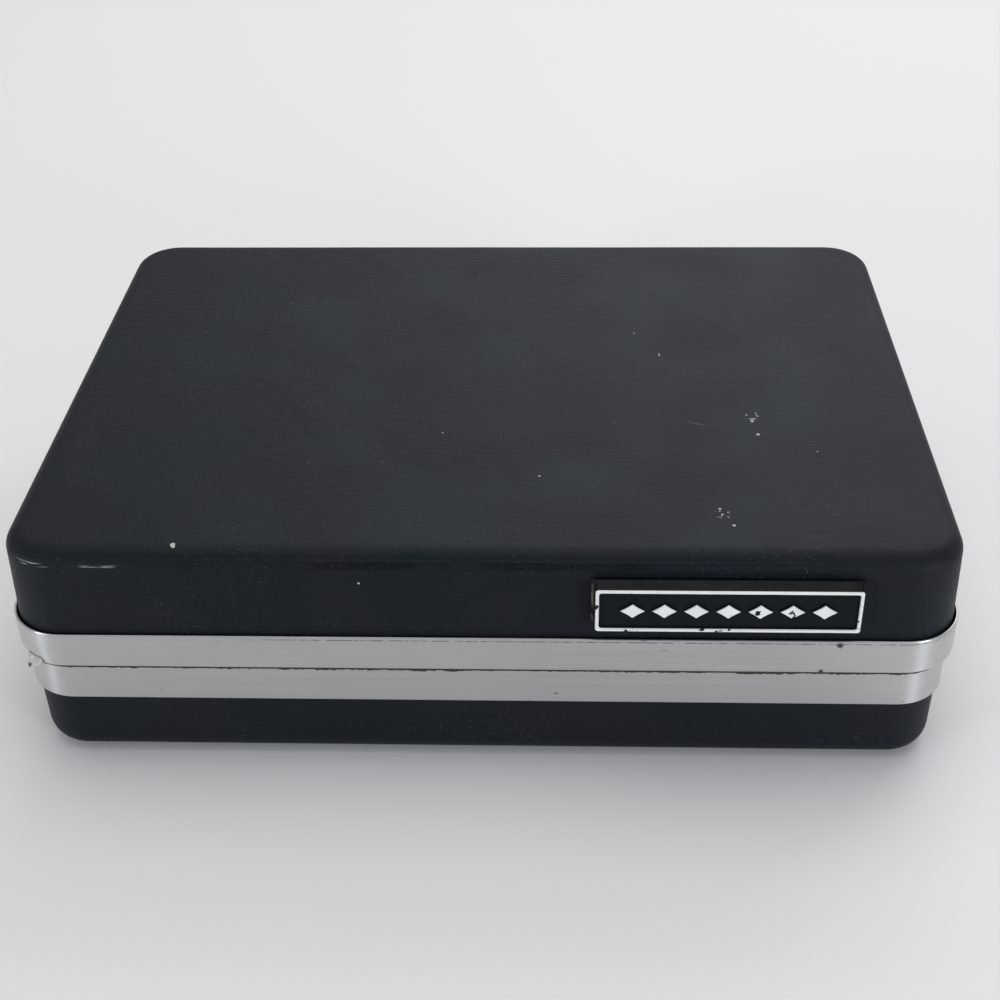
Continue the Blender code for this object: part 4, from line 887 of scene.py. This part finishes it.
def band_line(free_edge, split_edge):
    """(inset, height, share of tear) round a band's section: rolled free edge, turned-in flange and face."""
    way = copysign(1.0, free_edge - split_edge)
    face, back = -BAND_PROUD, BAND_SHEET - BAND_PROUD
    roll = BAND_SHEET / 2
    tip = free_edge - way * roll
    line = [(face + roll - roll * cos(a), tip + way * roll * sin(a), 0.0) for a in evenly(pi, 0.0, 6)]
    ledge = split_edge + way * BAND_SHEET
    turn = mm(0.28)
    line += [(back, ledge, 0.0), (BAND_FLANGE, ledge, 0.0), (BAND_FLANGE, split_edge, 0.0)]
    line += [(face + BAND_SHEET, split_edge, 0.35)]
    line += [
        (face + turn - turn * sin(a), split_edge + way * turn * (1 - cos(a)), 1.0 - 0.1 * a)
        for a in evenly(0.0, pi / 2, 4)
    ]
    start, end = split_edge + way * (turn + mm(0.06)), tip - way * mm(0.06)
    for share in evenly(0.0, 1.0, 8):
        torn = max(0.0, 1 - share * 2.6)
        line.append((face, start + (end - start) * share, torn * 0.85))
    return line


def build_band(name, half, free_edge, split_edge, material, body, node, tear=None):
    rings = []
    for inset, height, share in band_line(free_edge, split_edge):
        ring = case_ring(half, inset, height)
        if tear:
            ring = [tear(point, share) for point in ring]
        rings.append(ring)
    return show(loft(name, rings, material, endless=True), body, "band_metal", node)


def build_bands():
    low, high = UPPER_BAND
    build_band("upper_band_strip", LID_HALF, high.z, low.z, UPPER_BAND_METAL, "lid", "upper_band", torn_edge)
    build_torn_tab()
    low, high = LOWER_BAND
    build_band("lower_band_strip", BASE_HALF, low.z, high.z, LOWER_BAND_METAL, "base", "lower_band")


# ------------------------------------------------------------------ nameplate
def build_nameplate():
    """A black block with a raised rim round a sunk field, and a row of raised lozenges in the field."""
    front = (PLATE_HALF.x - PLATE_FRONT_DRAFT[0], PLATE_HALF.z - PLATE_FRONT_DRAFT[1])
    middle = (PLATE_MIDDLE.x, PLATE_MIDDLE.z)
    ease = mm(0.22)
    depth = PLATE_HIGH.y - PLATE_LOW.y
    # How far each outline spreads past the front face's, in x and z, and how far behind the front it lies.
    profile = (
        (*PLATE_FRONT_DRAFT, depth),
        (*PLATE_FRONT_DRAFT, depth - mm(0.5)),
        (*mm(0.15, 0.1), depth - mm(0.9)),
        (0.0, 0.0, ease),
        (-ease * 0.3, -ease * 0.3, ease * 0.3),
        (-ease, -ease, 0.0),
        (ease * 0.6 - PLATE_RIM, ease * 0.6 - PLATE_RIM, 0.0),
        (-PLATE_RIM, -PLATE_RIM, ease * 0.6),
        (-PLATE_RIM - mm(0.12), -PLATE_RIM - mm(0.12), PLATE_RECESS),
    )
    rings = []
    for spread_x, spread_z, back in profile:
        outline = rounded_rectangle(front[0] + spread_x, front[1] + spread_z, mm(0.5), middle, 4, 24)
        rings.append([worn_rim(set_on("Y", PLATE_LOW.y + back, point)) for point in outline])
    show(loft("nameplate_block", rings, PLATE_BLACK), "lid", "nameplate_plastic", "nameplate")
    ends = (PLATE_LOW.y + PLATE_RECESS + mm(0.1), PLATE_LOW.y + mm(0.02))
    for k in range(LOZENGE_COUNT):
        x = middle[0] + (k - (LOZENGE_COUNT - 1) / 2) * LOZENGE_PITCH
        mark = lozenge(f"nameplate_lozenge_{k + 1}", (x, middle[1]), ends)
        show(mark, "lid", "nameplate_plastic")


def worn_rim(point):
    """Nicks the rim's front edge a little, as knocks have."""
    x, y, z = point
    if y > PLATE_LOW.y + mm(0.3):
        return Vector(point)
    nick = max(0.0, noise.noise(Vector((x * 420.0, z * 420.0, 7.0))) - 0.35)
    return Vector((x, y + mm(0.35) * nick, z))


def lozenge(name, middle, ends):
    """A raised lozenge with concave sides and an eased front edge."""
    back, front = ends
    levels = []
    for spread, y in ((1.08, back), (1.04, front + mm(0.14)), (1.0, front + mm(0.05)), (0.9, front)):
        half_u, half_v = LOZENGE_HALF[0] * spread, LOZENGE_HALF[1] * spread
        outline = []
        for k in range(32):
            a = 2 * pi * k / 32
            reach = (abs(cos(a)) + abs(sin(a))) ** -1.15
            outline.append((middle[0] + half_u * reach * cos(a), middle[1] + half_v * reach * sin(a)))
        levels.append((y, outline))
    return stack(name, "Y", levels, PLATE_BLACK)


# ------------------------------------------------------------------ hinges
HINGE_PARTS = 5
KNUCKLE_RADIUS = mm(1.2)
KNUCKLE_GAP = mm(0.25)
PIN_RADIUS = mm(0.6)
LEAF_SHEET = mm(0.6)
LEAF_HEIGHT = mm(5.0)
RIVET = (mm(0.0, 1.1), mm(0.3, 1.1), mm(0.45, 0.95), mm(0.55, 0.6), mm(0.58, 0.15))  # heights and radii
PIN_END = ((0.0, 0.4), (mm(0.12), 0.85), (mm(0.3), 1.0))  # places from the end, and shares of the radius


def hinge_leaf(name, node, plate, web, parts, body):
    """A hinge leaf: a plate with riveted corners, and webs out to its own knuckles round the pin."""
    low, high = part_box(node)
    pin = (HINGE_AXIS.y, HINGE_AXIS.z)
    leaf = soften(prism(name, plate, "X", (low.x, high.x), HINGE_METAL), mm(0.15))
    piece = (high.x - low.x) / HINGE_PARTS
    for k in parts:
        ends = (low.x + k * piece + KNUCKLE_GAP / 2, low.x + (k + 1) * piece - KNUCKLE_GAP / 2)
        barrel = prism("barrel", circle(KNUCKLE_RADIUS, pin, 32), "X", ends, HINGE_METAL)
        join(leaf, prism("web", web, "X", ends, HINGE_METAL), barrel)
    bore = circle(PIN_RADIUS + mm(0.05), pin, 24)
    cut(leaf, prism("bore", bore, "X", (low.x - MM, high.x + MM), HINGE_METAL))
    seat = max(point[0] for point in plate) - mm(0.2)
    height = sum(point[1] for point in plate) / len(plate)
    for side in (-1, 1):
        centre = ((low.x + high.x) / 2 + side * (high.x - low.x) * 0.36, height)
        levels = [(seat + rise, circle(radius, centre, 20)) for rise, radius in RIVET]
        join(leaf, stack("rivet", "Y", levels, HINGE_METAL))
    return show(smoothed(leaf), body, "band_metal", node)


def build_hinges():
    y, z = HINGE_AXIS.y, HINGE_AXIS.z
    for where in ("left", "right"):
        low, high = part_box(f"lid_hinge_leaf_{where}")
        face, back, top = low.y, low.y + LEAF_SHEET, high.z
        plate = [(face, top - LEAF_HEIGHT), (back, top - LEAF_HEIGHT), (back, top), (face, top)]
        web = [
            (face, z + mm(3.0)),
            (face + mm(0.05), z + mm(0.9)),
            (y, z + mm(0.8)),
            (y + mm(0.35), z + mm(1.1)),
            (back, z + mm(2.6)),
            (back, z + mm(3.0)),
        ]
        hinge_leaf(f"lid_leaf_{where}", f"lid_hinge_leaf_{where}", plate, web, (1, 3), "lid")
        low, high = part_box(f"base_hinge_leaf_{where}")
        face, back, foot = low.y, low.y + LEAF_SHEET, low.z
        plate = [(face, foot), (back, foot), (back, foot + LEAF_HEIGHT), (face, foot + LEAF_HEIGHT)]
        web = [
            (face, z - mm(2.6)),
            (back, z - mm(2.6)),
            (y + mm(0.2), z - mm(1.1)),
            (y, z - mm(0.75)),
            (y - mm(1.0), z - mm(0.2)),
            (face, z - mm(1.9)),
        ]
        hinge_leaf(f"base_leaf_{where}", f"base_hinge_leaf_{where}", plate, web, (0, 2, 4), "base")
        low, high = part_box(f"hinge_pin_{where}")
        places = [(low.x + x, share) for x, share in PIN_END]
        places += [(high.x - x, share) for x, share in reversed(PIN_END)]
        levels = [(x, circle(PIN_RADIUS * share, (y, z), 24)) for x, share in places]
        show(stack(f"pin_{where}", "X", levels, PLAIN_STEEL), "base", "steel", f"hinge_pin_{where}")


# ------------------------------------------------------------------ lid lining and mirror
def build_lining():
    """A flocked lining inside the lid, with a cove round its ceiling and a window for the catch's keeper."""
    half = LID_HALF
    inset = half[0] - LINER_HIGH.x
    inner = inset + LINER_THICKNESS
    cove = mm(4.5)
    low, top = LINER_LOW.z, LINER_HIGH.z
    ceiling = top - LINER_THICKNESS
    middle = half[1] - mm(2.0)
    line = [(inset, low), (inset, top - mm(1.8)), (inset + mm(0.9), top - mm(0.4)), (inset + mm(2.2), top)]
    line.append((middle, top))
    line += [(edge, ceiling) for edge in evenly(middle, inner + cove, 10)]
    turns = evenly(0.0, pi / 2, 7)[1:]
    line += [(inner + cove * (1 - sin(a)), ceiling - cove * (1 - cos(a))) for a in turns]
    line += [(inner, height) for height in evenly(ceiling - cove, low + mm(0.5), 6)[1:]]
    line += [(inner - mm(0.2), low + mm(0.1)), (inner - mm(0.5), low)]
    lining = loft("lid_lining", [case_ring(half, *place) for place in line], LINING_FLOCK, endless=True)
    outline = rectangle(*KEEPER_WINDOW_HALF, KEEPER_WINDOW_MIDDLE)
    window = prism("window", outline, "Y", (-half[1], -half[1] + KEEPER_WINDOW_DEPTH), PLAIN_STEEL)
    show(cut(lining, window), "lid", "flock", "lid_liner")


def build_mirror():
    """A bevelled mirror in a round-edged chrome frame."""
    low, high = GLASS_LOW.z, GLASS_HIGH.z
    levels = []
    for inset, height in ((0.0, high), (0.0, low + mm(0.6)), (mm(4.5), low), (mm(5.5), low)):
        levels.append((height, inset_outline(GLASS_HALF, inset, GLASS_CORNER, corner_steps=10)))
    show(stack("mirror_plate", "Z", levels, SILVERED_GLASS), "lid", "mirror", "mirror_glass")
    reach = GLASS_FRAME_HIGH.x - GLASS_HIGH.x
    lip, edge = mm(2.0), mm(0.9)
    foot, top = GLASS_FRAME_LOW.z, GLASS_FRAME_HIGH.z
    lip_top = low - FIT_GAP
    # How far out from the glass's edge, and how high, round the frame's section.
    section = [
        (reach, top),
        *[(reach - edge * (1 - cos(a)), foot + edge * (1 - sin(a))) for a in evenly(0.0, pi / 2, 5)],
        (0.0, foot + mm(0.02)),
        (-lip * 0.6, foot + mm(0.18)),
        (-lip * 0.9, foot + mm(0.42)),
        (-lip, lip_top - mm(0.05)),
        (-lip, lip_top),
        (FIT_GAP, lip_top),
        (FIT_GAP, top),
    ]
    levels = [(z, inset_outline(GLASS_HALF, -out, GLASS_CORNER, corner_steps=12)) for out, z in section]
    show(stack("mirror_bezel", "Z", levels, CHROME, endless=True), "lid", "chrome", "mirror_frame")


# ------------------------------------------------------------------ insert tray
def pocket(corners):
    """A cutter for a round-cornered pocket, with a soft floor edge and a rolled lip at its mouth."""
    (x0, y0), (x1, y1) = corners
    half = ((x1 - x0) / 2, (y1 - y0) / 2)
    centre = ((x0 + x1) / 2, (y0 + y1) / 2)
    cove, lip = mm(2.5), mm(1.3)
    mouth = TRAY_HIGH.z
    line = [(cove * (1 - sin(a)), POCKET_FLOOR + cove * (1 - cos(a))) for a in evenly(0.0, pi / 2, 6)]
    line += [(0.0, height) for height in evenly(POCKET_FLOOR + cove, mouth - lip, 5)[1:]]
    line += [(-lip * (1 - cos(a)), mouth - lip + lip * sin(a)) for a in evenly(0.0, pi / 2, 5)[1:]]
    line.append((-lip, mouth + mm(2.0)))
    levels = [(height, inset_outline(half, inset, POCKET_RADIUS, centre, 12, 8)) for inset, height in line]
    return stack("pocket", "Z", levels, TRAY_FLOCK)


def build_tray():
    """The flocked insert, with its three pockets, a finger scoop and a notch behind the catch."""
    half = BASE_HALF
    inset = half[0] - TRAY_HIGH.x
    top = TRAY_HIGH.z
    line = wall_line(inset, TRAY_LOW.z - inset, top - mm(0.5), BOTTOM_EDGE_RADIUS, BASE_DRAFT, 5)
    line += [(inset + mm(0.15), top - mm(0.15)), (inset + mm(0.5), top)]
    tray = loft("flocked_insert", [case_ring(half, *place) for place in line], TRAY_FLOCK)
    cut(tray, pocket(SHAVER_POCKET), pocket(CORD_POCKET), pocket(ACCESSORY_POCKET))
    scoop = [mm(11.0, 6.5), mm(11.4, 7.6), mm(12.4, 8.7), mm(16.0, 9.2), mm(21.6, 9.6)]
    scoop += [(top, mm(10.7)), (top + MM, mm(10.9))]
    levels = [(height, circle(radius, SCOOP_CENTRE)) for height, radius in scoop]
    cut(tray, stack("scoop", "Z", levels, TRAY_FLOCK))
    notch = rectangle(*NOTCH_HALF, NOTCH_MIDDLE)
    cut(tray, prism("notch", notch, "Y", (-half[1], NOTCH_BACK), TRAY_FLOCK))
    show(smoothed(tray, 50), "base", "flock", "insert_tray")


# ------------------------------------------------------------------ shaver casing
SECTION_STEPS = 72


def section_half(y, half_width, half_thickness, start, end, steps):
    """Points of a superellipse across the shaver at y, between two angles in degrees."""
    power = 2 / SECTION_POWER
    points = []
    for k in range(steps + 1):
        a = radians(start + (end - start) * k / steps)
        x = half_width * copysign(abs(cos(a)) ** power, cos(a))
        z = half_thickness * copysign(abs(sin(a)) ** power, sin(a))
        points.append(Vector((x, y, z)))
    return points


def section_ring(y, half_width, half_thickness):
    return section_half(y, half_width, half_thickness, 0.0, 360.0, SECTION_STEPS)[:-1]


def casing_size(y):
    """The casing's half width and half thickness at y, on a smooth curve through its sections."""
    table = CASING_SECTIONS
    last = len(table) - 1
    k = max(i for i in range(last) if table[i][0] <= y or i == 0)
    before, start, end, after = table[max(k - 1, 0)], table[k], table[k + 1], table[min(k + 2, last)]
    span = end[0] - start[0]
    t = (y - start[0]) / span
    found = []
    for j in (1, 2):
        slope_in = span * (end[j] - before[j]) / (end[0] - before[0])
        slope_out = span * (after[j] - start[j]) / (after[0] - start[0])
        value = (
            start[j] * (2 * t**3 - 3 * t**2 + 1)
            + slope_in * (t**3 - 2 * t**2 + t)
            + end[j] * (3 * t**2 - 2 * t**3)
            + slope_out * (t**3 - t**2)
        )
        found.append(value)
    return found


def casing_half(name, way):
    """The front (way 1) or back (way -1) of the casing, as a shell with a closed foot."""
    low, high = CASING_SECTIONS[0][0], CASING_SECTIONS[-1][0]
    floor = low + mm(2.6)
    places = [*evenly(low, low + mm(5.0), 10), *evenly(low + mm(6.0), high, 44), floor, floor + mm(0.02)]
    half_gap = mm(0.15)
    steps = SECTION_STEPS // 2
    rings = []
    for y in sorted(places):
        half_x, half_z = casing_size(y)
        hollow = y > floor + mm(0.01)
        hole = (half_x - CASING_WALL, half_z - CASING_WALL) if hollow else mm(0.4, 0.02)
        outer = section_half(y, half_x, half_z, 0.0, 180.0, steps)
        inner = section_half(y, *hole, 180.0, 0.0, steps)
        rings.append([(p.x, p.y, way * (half_gap + p.z)) for p in [*outer, *inner]])
    return loft(name, shifted(rings, SHAVER), CASING_BLACK)


def shaver_prism(name, outline, axis, places, material=CASING_BLACK):
    """A prism placed in the shaver's own frame."""
    return prism(name, outline, axis, places, material, SHAVER)


def build_casing():
    covers = (("casing_front", 1, "shaver_front_cover"), ("casing_back", -1, "shaver_back_cover"))
    for name, way, node in covers:
        cover = casing_half(name, way)
        cut(cover, shaver_prism("inlet_hole", rectangle(*INLET_HOLE_HALF), "Y", mm(-60.0, -49.0)))
        window = rounded_rectangle(*RELEASE_WINDOW_HALF, mm(1.0), RELEASE_MIDDLE, 4)
        for side in (-1, 1):
            cut(cover, shaver_prism("window", window, "X", sorted((side * mm(20.0), side * mm(32.0)))))
        if way == 1:
            seat = rounded_rectangle(*SWITCH_SEAT_HALF, mm(2.3), SWITCH_SEAT_MIDDLE, 6)
            slot = rectangle(*SWITCH_SLOT_HALF, SWITCH_SLOT_MIDDLE)
            cut(cover, shaver_prism("seat", seat, "Z", mm(15.6, 25.0)))
            cut(cover, shaver_prism("slot", slot, "Z", mm(5.0, 25.0)))
        else:
            for side in (-1, 1):
                recess = circle(SCREW_RECESS_RADIUS, (side * SCREW_PLACE[0], SCREW_PLACE[1]), 28)
                cut(cover, shaver_prism("recess", recess, "Z", mm(-25.0, -10.0)))
        show(smoothed(cover), "base", "casing_plastic", node)


# ------------------------------------------------------------------ switch and release buttons
def build_switch():
    """A satin plate with an eased edge, and the thumb button in its slot."""
    low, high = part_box("switch_plate")
    centre = ((low.x + high.x) / 2, (low.y + high.y) / 2)
    half = ((high.x - low.x) / 2, (high.y - low.y) / 2)
    top = high.z
    edge = ((0.0, low.z), (0.0, top - mm(0.3)), (mm(0.1), top - mm(0.08)), (mm(0.35), top), (mm(0.45), top))
    levels = []
    for inset, height in edge:
        levels.append((height, rounded_rectangle(half[0] - inset, half[1] - inset, mm(2.0), centre)))
    slot_centre = (centre[0], SHAVER.y + SWITCH_SLOT_MIDDLE[1])
    for spread, height in ((mm(0.25), top), (mm(0.12), top), (0.0, top - mm(0.15)), (0.0, low.z)):
        slot = [size + spread for size in SWITCH_SLOT_HALF]
        levels.append((height, rounded_rectangle(*slot, mm(0.5), slot_centre)))
    show(stack("switch_trim", "Z", levels, SATIN_PLATE, endless=True), "base", "band_metal", "switch_plate")
    button = stack("thumb_button", "Y", button_levels(*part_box("switch_button")), BUTTON_BLACK)
    show(button, "switch", "casing_plastic", "switch_button")


def button_levels(low, high):
    """Outlines from end to end of the thumb button: a ribbed cap, a narrow stem and a wider foot."""
    middle = (low.x + high.x) / 2
    cap, stem, foot = mm(5.5, 2.2, 3.6)
    cap_low = high.z - mm(1.2)
    levels = []
    for y in evenly(low.y, high.y, 56):
        share = (y - low.y) / (high.y - low.y)
        end = min(share, 1 - share) * (high.y - low.y)
        rounding = (1 - min(1.0, end / mm(0.8))) ** 2
        ribs = mm(0.28) * (0.5 + 0.5 * cos(2 * pi * share * 7)) if end > mm(0.9) else 0.0
        top = high.z - mm(0.5) * rounding - ribs
        width = cap - mm(0.4) * rounding
        half_line = [
            (foot, low.z),
            (foot, low.z + mm(1.1)),
            (stem, low.z + mm(1.1)),
            (stem, cap_low),
            (width, cap_low),
            (width, top - mm(0.55)),
            (width - mm(0.15), top - mm(0.2)),
            (width - mm(0.5), top),
        ]
        outline = [*half_line, *[(-x, z) for x, z in reversed(half_line)]]
        levels.append((y, [(middle + x, z) for x, z in outline]))
    return levels


def build_release_buttons():
    """Two pads with domed faces, each on a wider flange."""
    # x, and the half sizes there in y and z.
    profile = [mm(22.4, 3.4, 4.4), mm(23.8, 3.4, 4.4), mm(23.8, 2.5, 3.5), mm(27.6, 2.5, 3.5)]
    for a in evenly(0.0, pi / 2, 6)[1:]:
        fall = 0.7 * (1 - cos(a))
        profile.append(mm(27.6 + 1.1 * sin(a), 2.5 - fall, 3.5 - fall))
    for side, where in ((-1, "left"), (1, "right")):
        levels = [(side * x, rounded_rectangle(*half, mm(0.8), RELEASE_MIDDLE, 6)) for x, *half in profile]
        button = stack(f"release_pad_{where}", "X", levels, CHROME, offset=SHAVER)
        show(button, f"release_{where}", "chrome", f"release_button_{where}")


# ------------------------------------------------------------------ shaving head
def build_head():
    """The chrome head frame, round-shouldered, with cheeks at the ends of its slot."""
    height = HEAD_TOP - HEAD_START
    shoulder = []
    for share in evenly(1.0, 0.0, 14):
        fall = 1 - (1 - share**2.2) ** (1 / 2.2)
        shoulder.append((HEAD_START + height * share, mm(27.0) - mm(3.4) * fall, mm(15.2) - mm(4.4) * fall))
    rings = [section_ring(*section) for section in (*shoulder, *SKIRT_SECTIONS)]
    head = loft("head_shell", shifted(rings, SHAVER), CHROME)
    slot = rectangle(FOIL_HALF_LENGTH + FIT_GAP, FOIL_RADIUS + FIT_GAP)
    cut(head, shaver_prism("slot", slot, "Y", mm(41.5, 47.0)))
    cheek = arc((FOIL_CENTRE_Y, 0.0), FOIL_RADIUS + mm(0.2), 73.0, -73.0, 32)
    near, far = FOIL_HALF_LENGTH + FIT_GAP, FOIL_HALF_LENGTH + mm(1.5)
    for side in (-1, 1):
        join(head, shaver_prism("cheek", cheek, "X", sorted((side * near, side * far)), CHROME))
    show(smoothed(head), "head", "chrome", "head_frame")


def build_foil():
    """The foil: an arched sheet, with UVs in millimetres along it and round it for its pattern of holes."""
    outer = arc((FOIL_CENTRE_Y, 0.0), FOIL_RADIUS, 90.0, -90.0, 48)
    inner = arc((FOIL_CENTRE_Y, 0.0), FOIL_RADIUS - FOIL_SHEET, -90.0, 90.0, 48)
    places = evenly(-FOIL_HALF_LENGTH, FOIL_HALF_LENGTH, 30)
    foil = shaver_prism("foil_sheet", [*outer, *inner], "X", places, FOIL_METAL)
    layer = foil.data.uv_layers.new(name="millimetres")
    for corner in foil.data.loops:
        place = foil.data.vertices[corner.vertex_index].co - SHAVER
        turn = Vector((1.0, 0.0)).angle_signed(Vector((place.y - FOIL_CENTRE_Y, place.z)), 0.0)
        layer.data[corner.index].uv = (place.x / MM, FOIL_RADIUS / MM * turn)
    show(foil, "head", "steel", "shaving_foil")


# ------------------------------------------------------------------ stage
def build_stage():
    """A plain pale floor, a pale sky, soft boxes and the camera."""
    floor = shape("floor", [(-3, -3, 0), (3, -3, 0), (3, 3, 0), (-3, 3, 0)], [(0, 1, 2, 3)], floor_finish())
    floor.location.z = -mm(0.1)
    scene = bpy.context.scene
    world = bpy.data.worlds.new("studio")
    world.use_nodes = True
    sky = world.node_tree.nodes["Background"]
    sky.inputs["Color"].default_value = SKY_COLOUR
    sky.inputs["Strength"].default_value = SKY_STRENGTH
    scene.world = world
    for name, box in SOFT_BOXES.items():
        soft_box(name, *box)
    data = bpy.data.cameras.new("camera")
    data.lens = CAMERA_LENS
    data.sensor_width = SENSOR
    camera = bpy.data.objects.new("camera", data)
    turn = Matrix.Rotation(CAMERA_TURN, 4, "Z") @ Matrix.Rotation(pi / 2 - CAMERA_PITCH, 4, "X")
    camera.matrix_world = Matrix.Translation(CAMERA_PLACE) @ turn @ Matrix.Rotation(CAMERA_ROLL, 4, "Z")
    scene.collection.objects.link(camera)
    scene.camera = camera
    scene.view_settings.view_transform = "Standard"


def floor_finish():
    made = Finish("floor_paint", (0.80, 0.80, 0.79), 0.75)
    made.drive("Base Color", made.mix(made.noise(3.0, 2.0), (0.79, 0.79, 0.78), (0.82, 0.82, 0.81)))
    return made.material


def soft_box(name, place, size, power, colour):
    """An area light that faces the case."""
    data = bpy.data.lights.new(name, "AREA")
    data.shape = "RECTANGLE"
    data.size, data.size_y = size
    data.energy = power
    data.color = colour
    lamp = bpy.data.objects.new(name, data)
    lamp.location = place
    lamp.rotation_euler = Vector(place).to_track_quat("Z", "Y").to_euler()
    bpy.context.scene.collection.objects.link(lamp)


def main():
    finish_kept_nodes()
    build_coverings()
    build_bands()
    build_nameplate()
    build_hinges()
    build_lining()
    build_mirror()
    build_tray()
    build_casing()
    build_switch()
    build_release_buttons()
    build_head()
    build_foil()
    build_stage()


main()
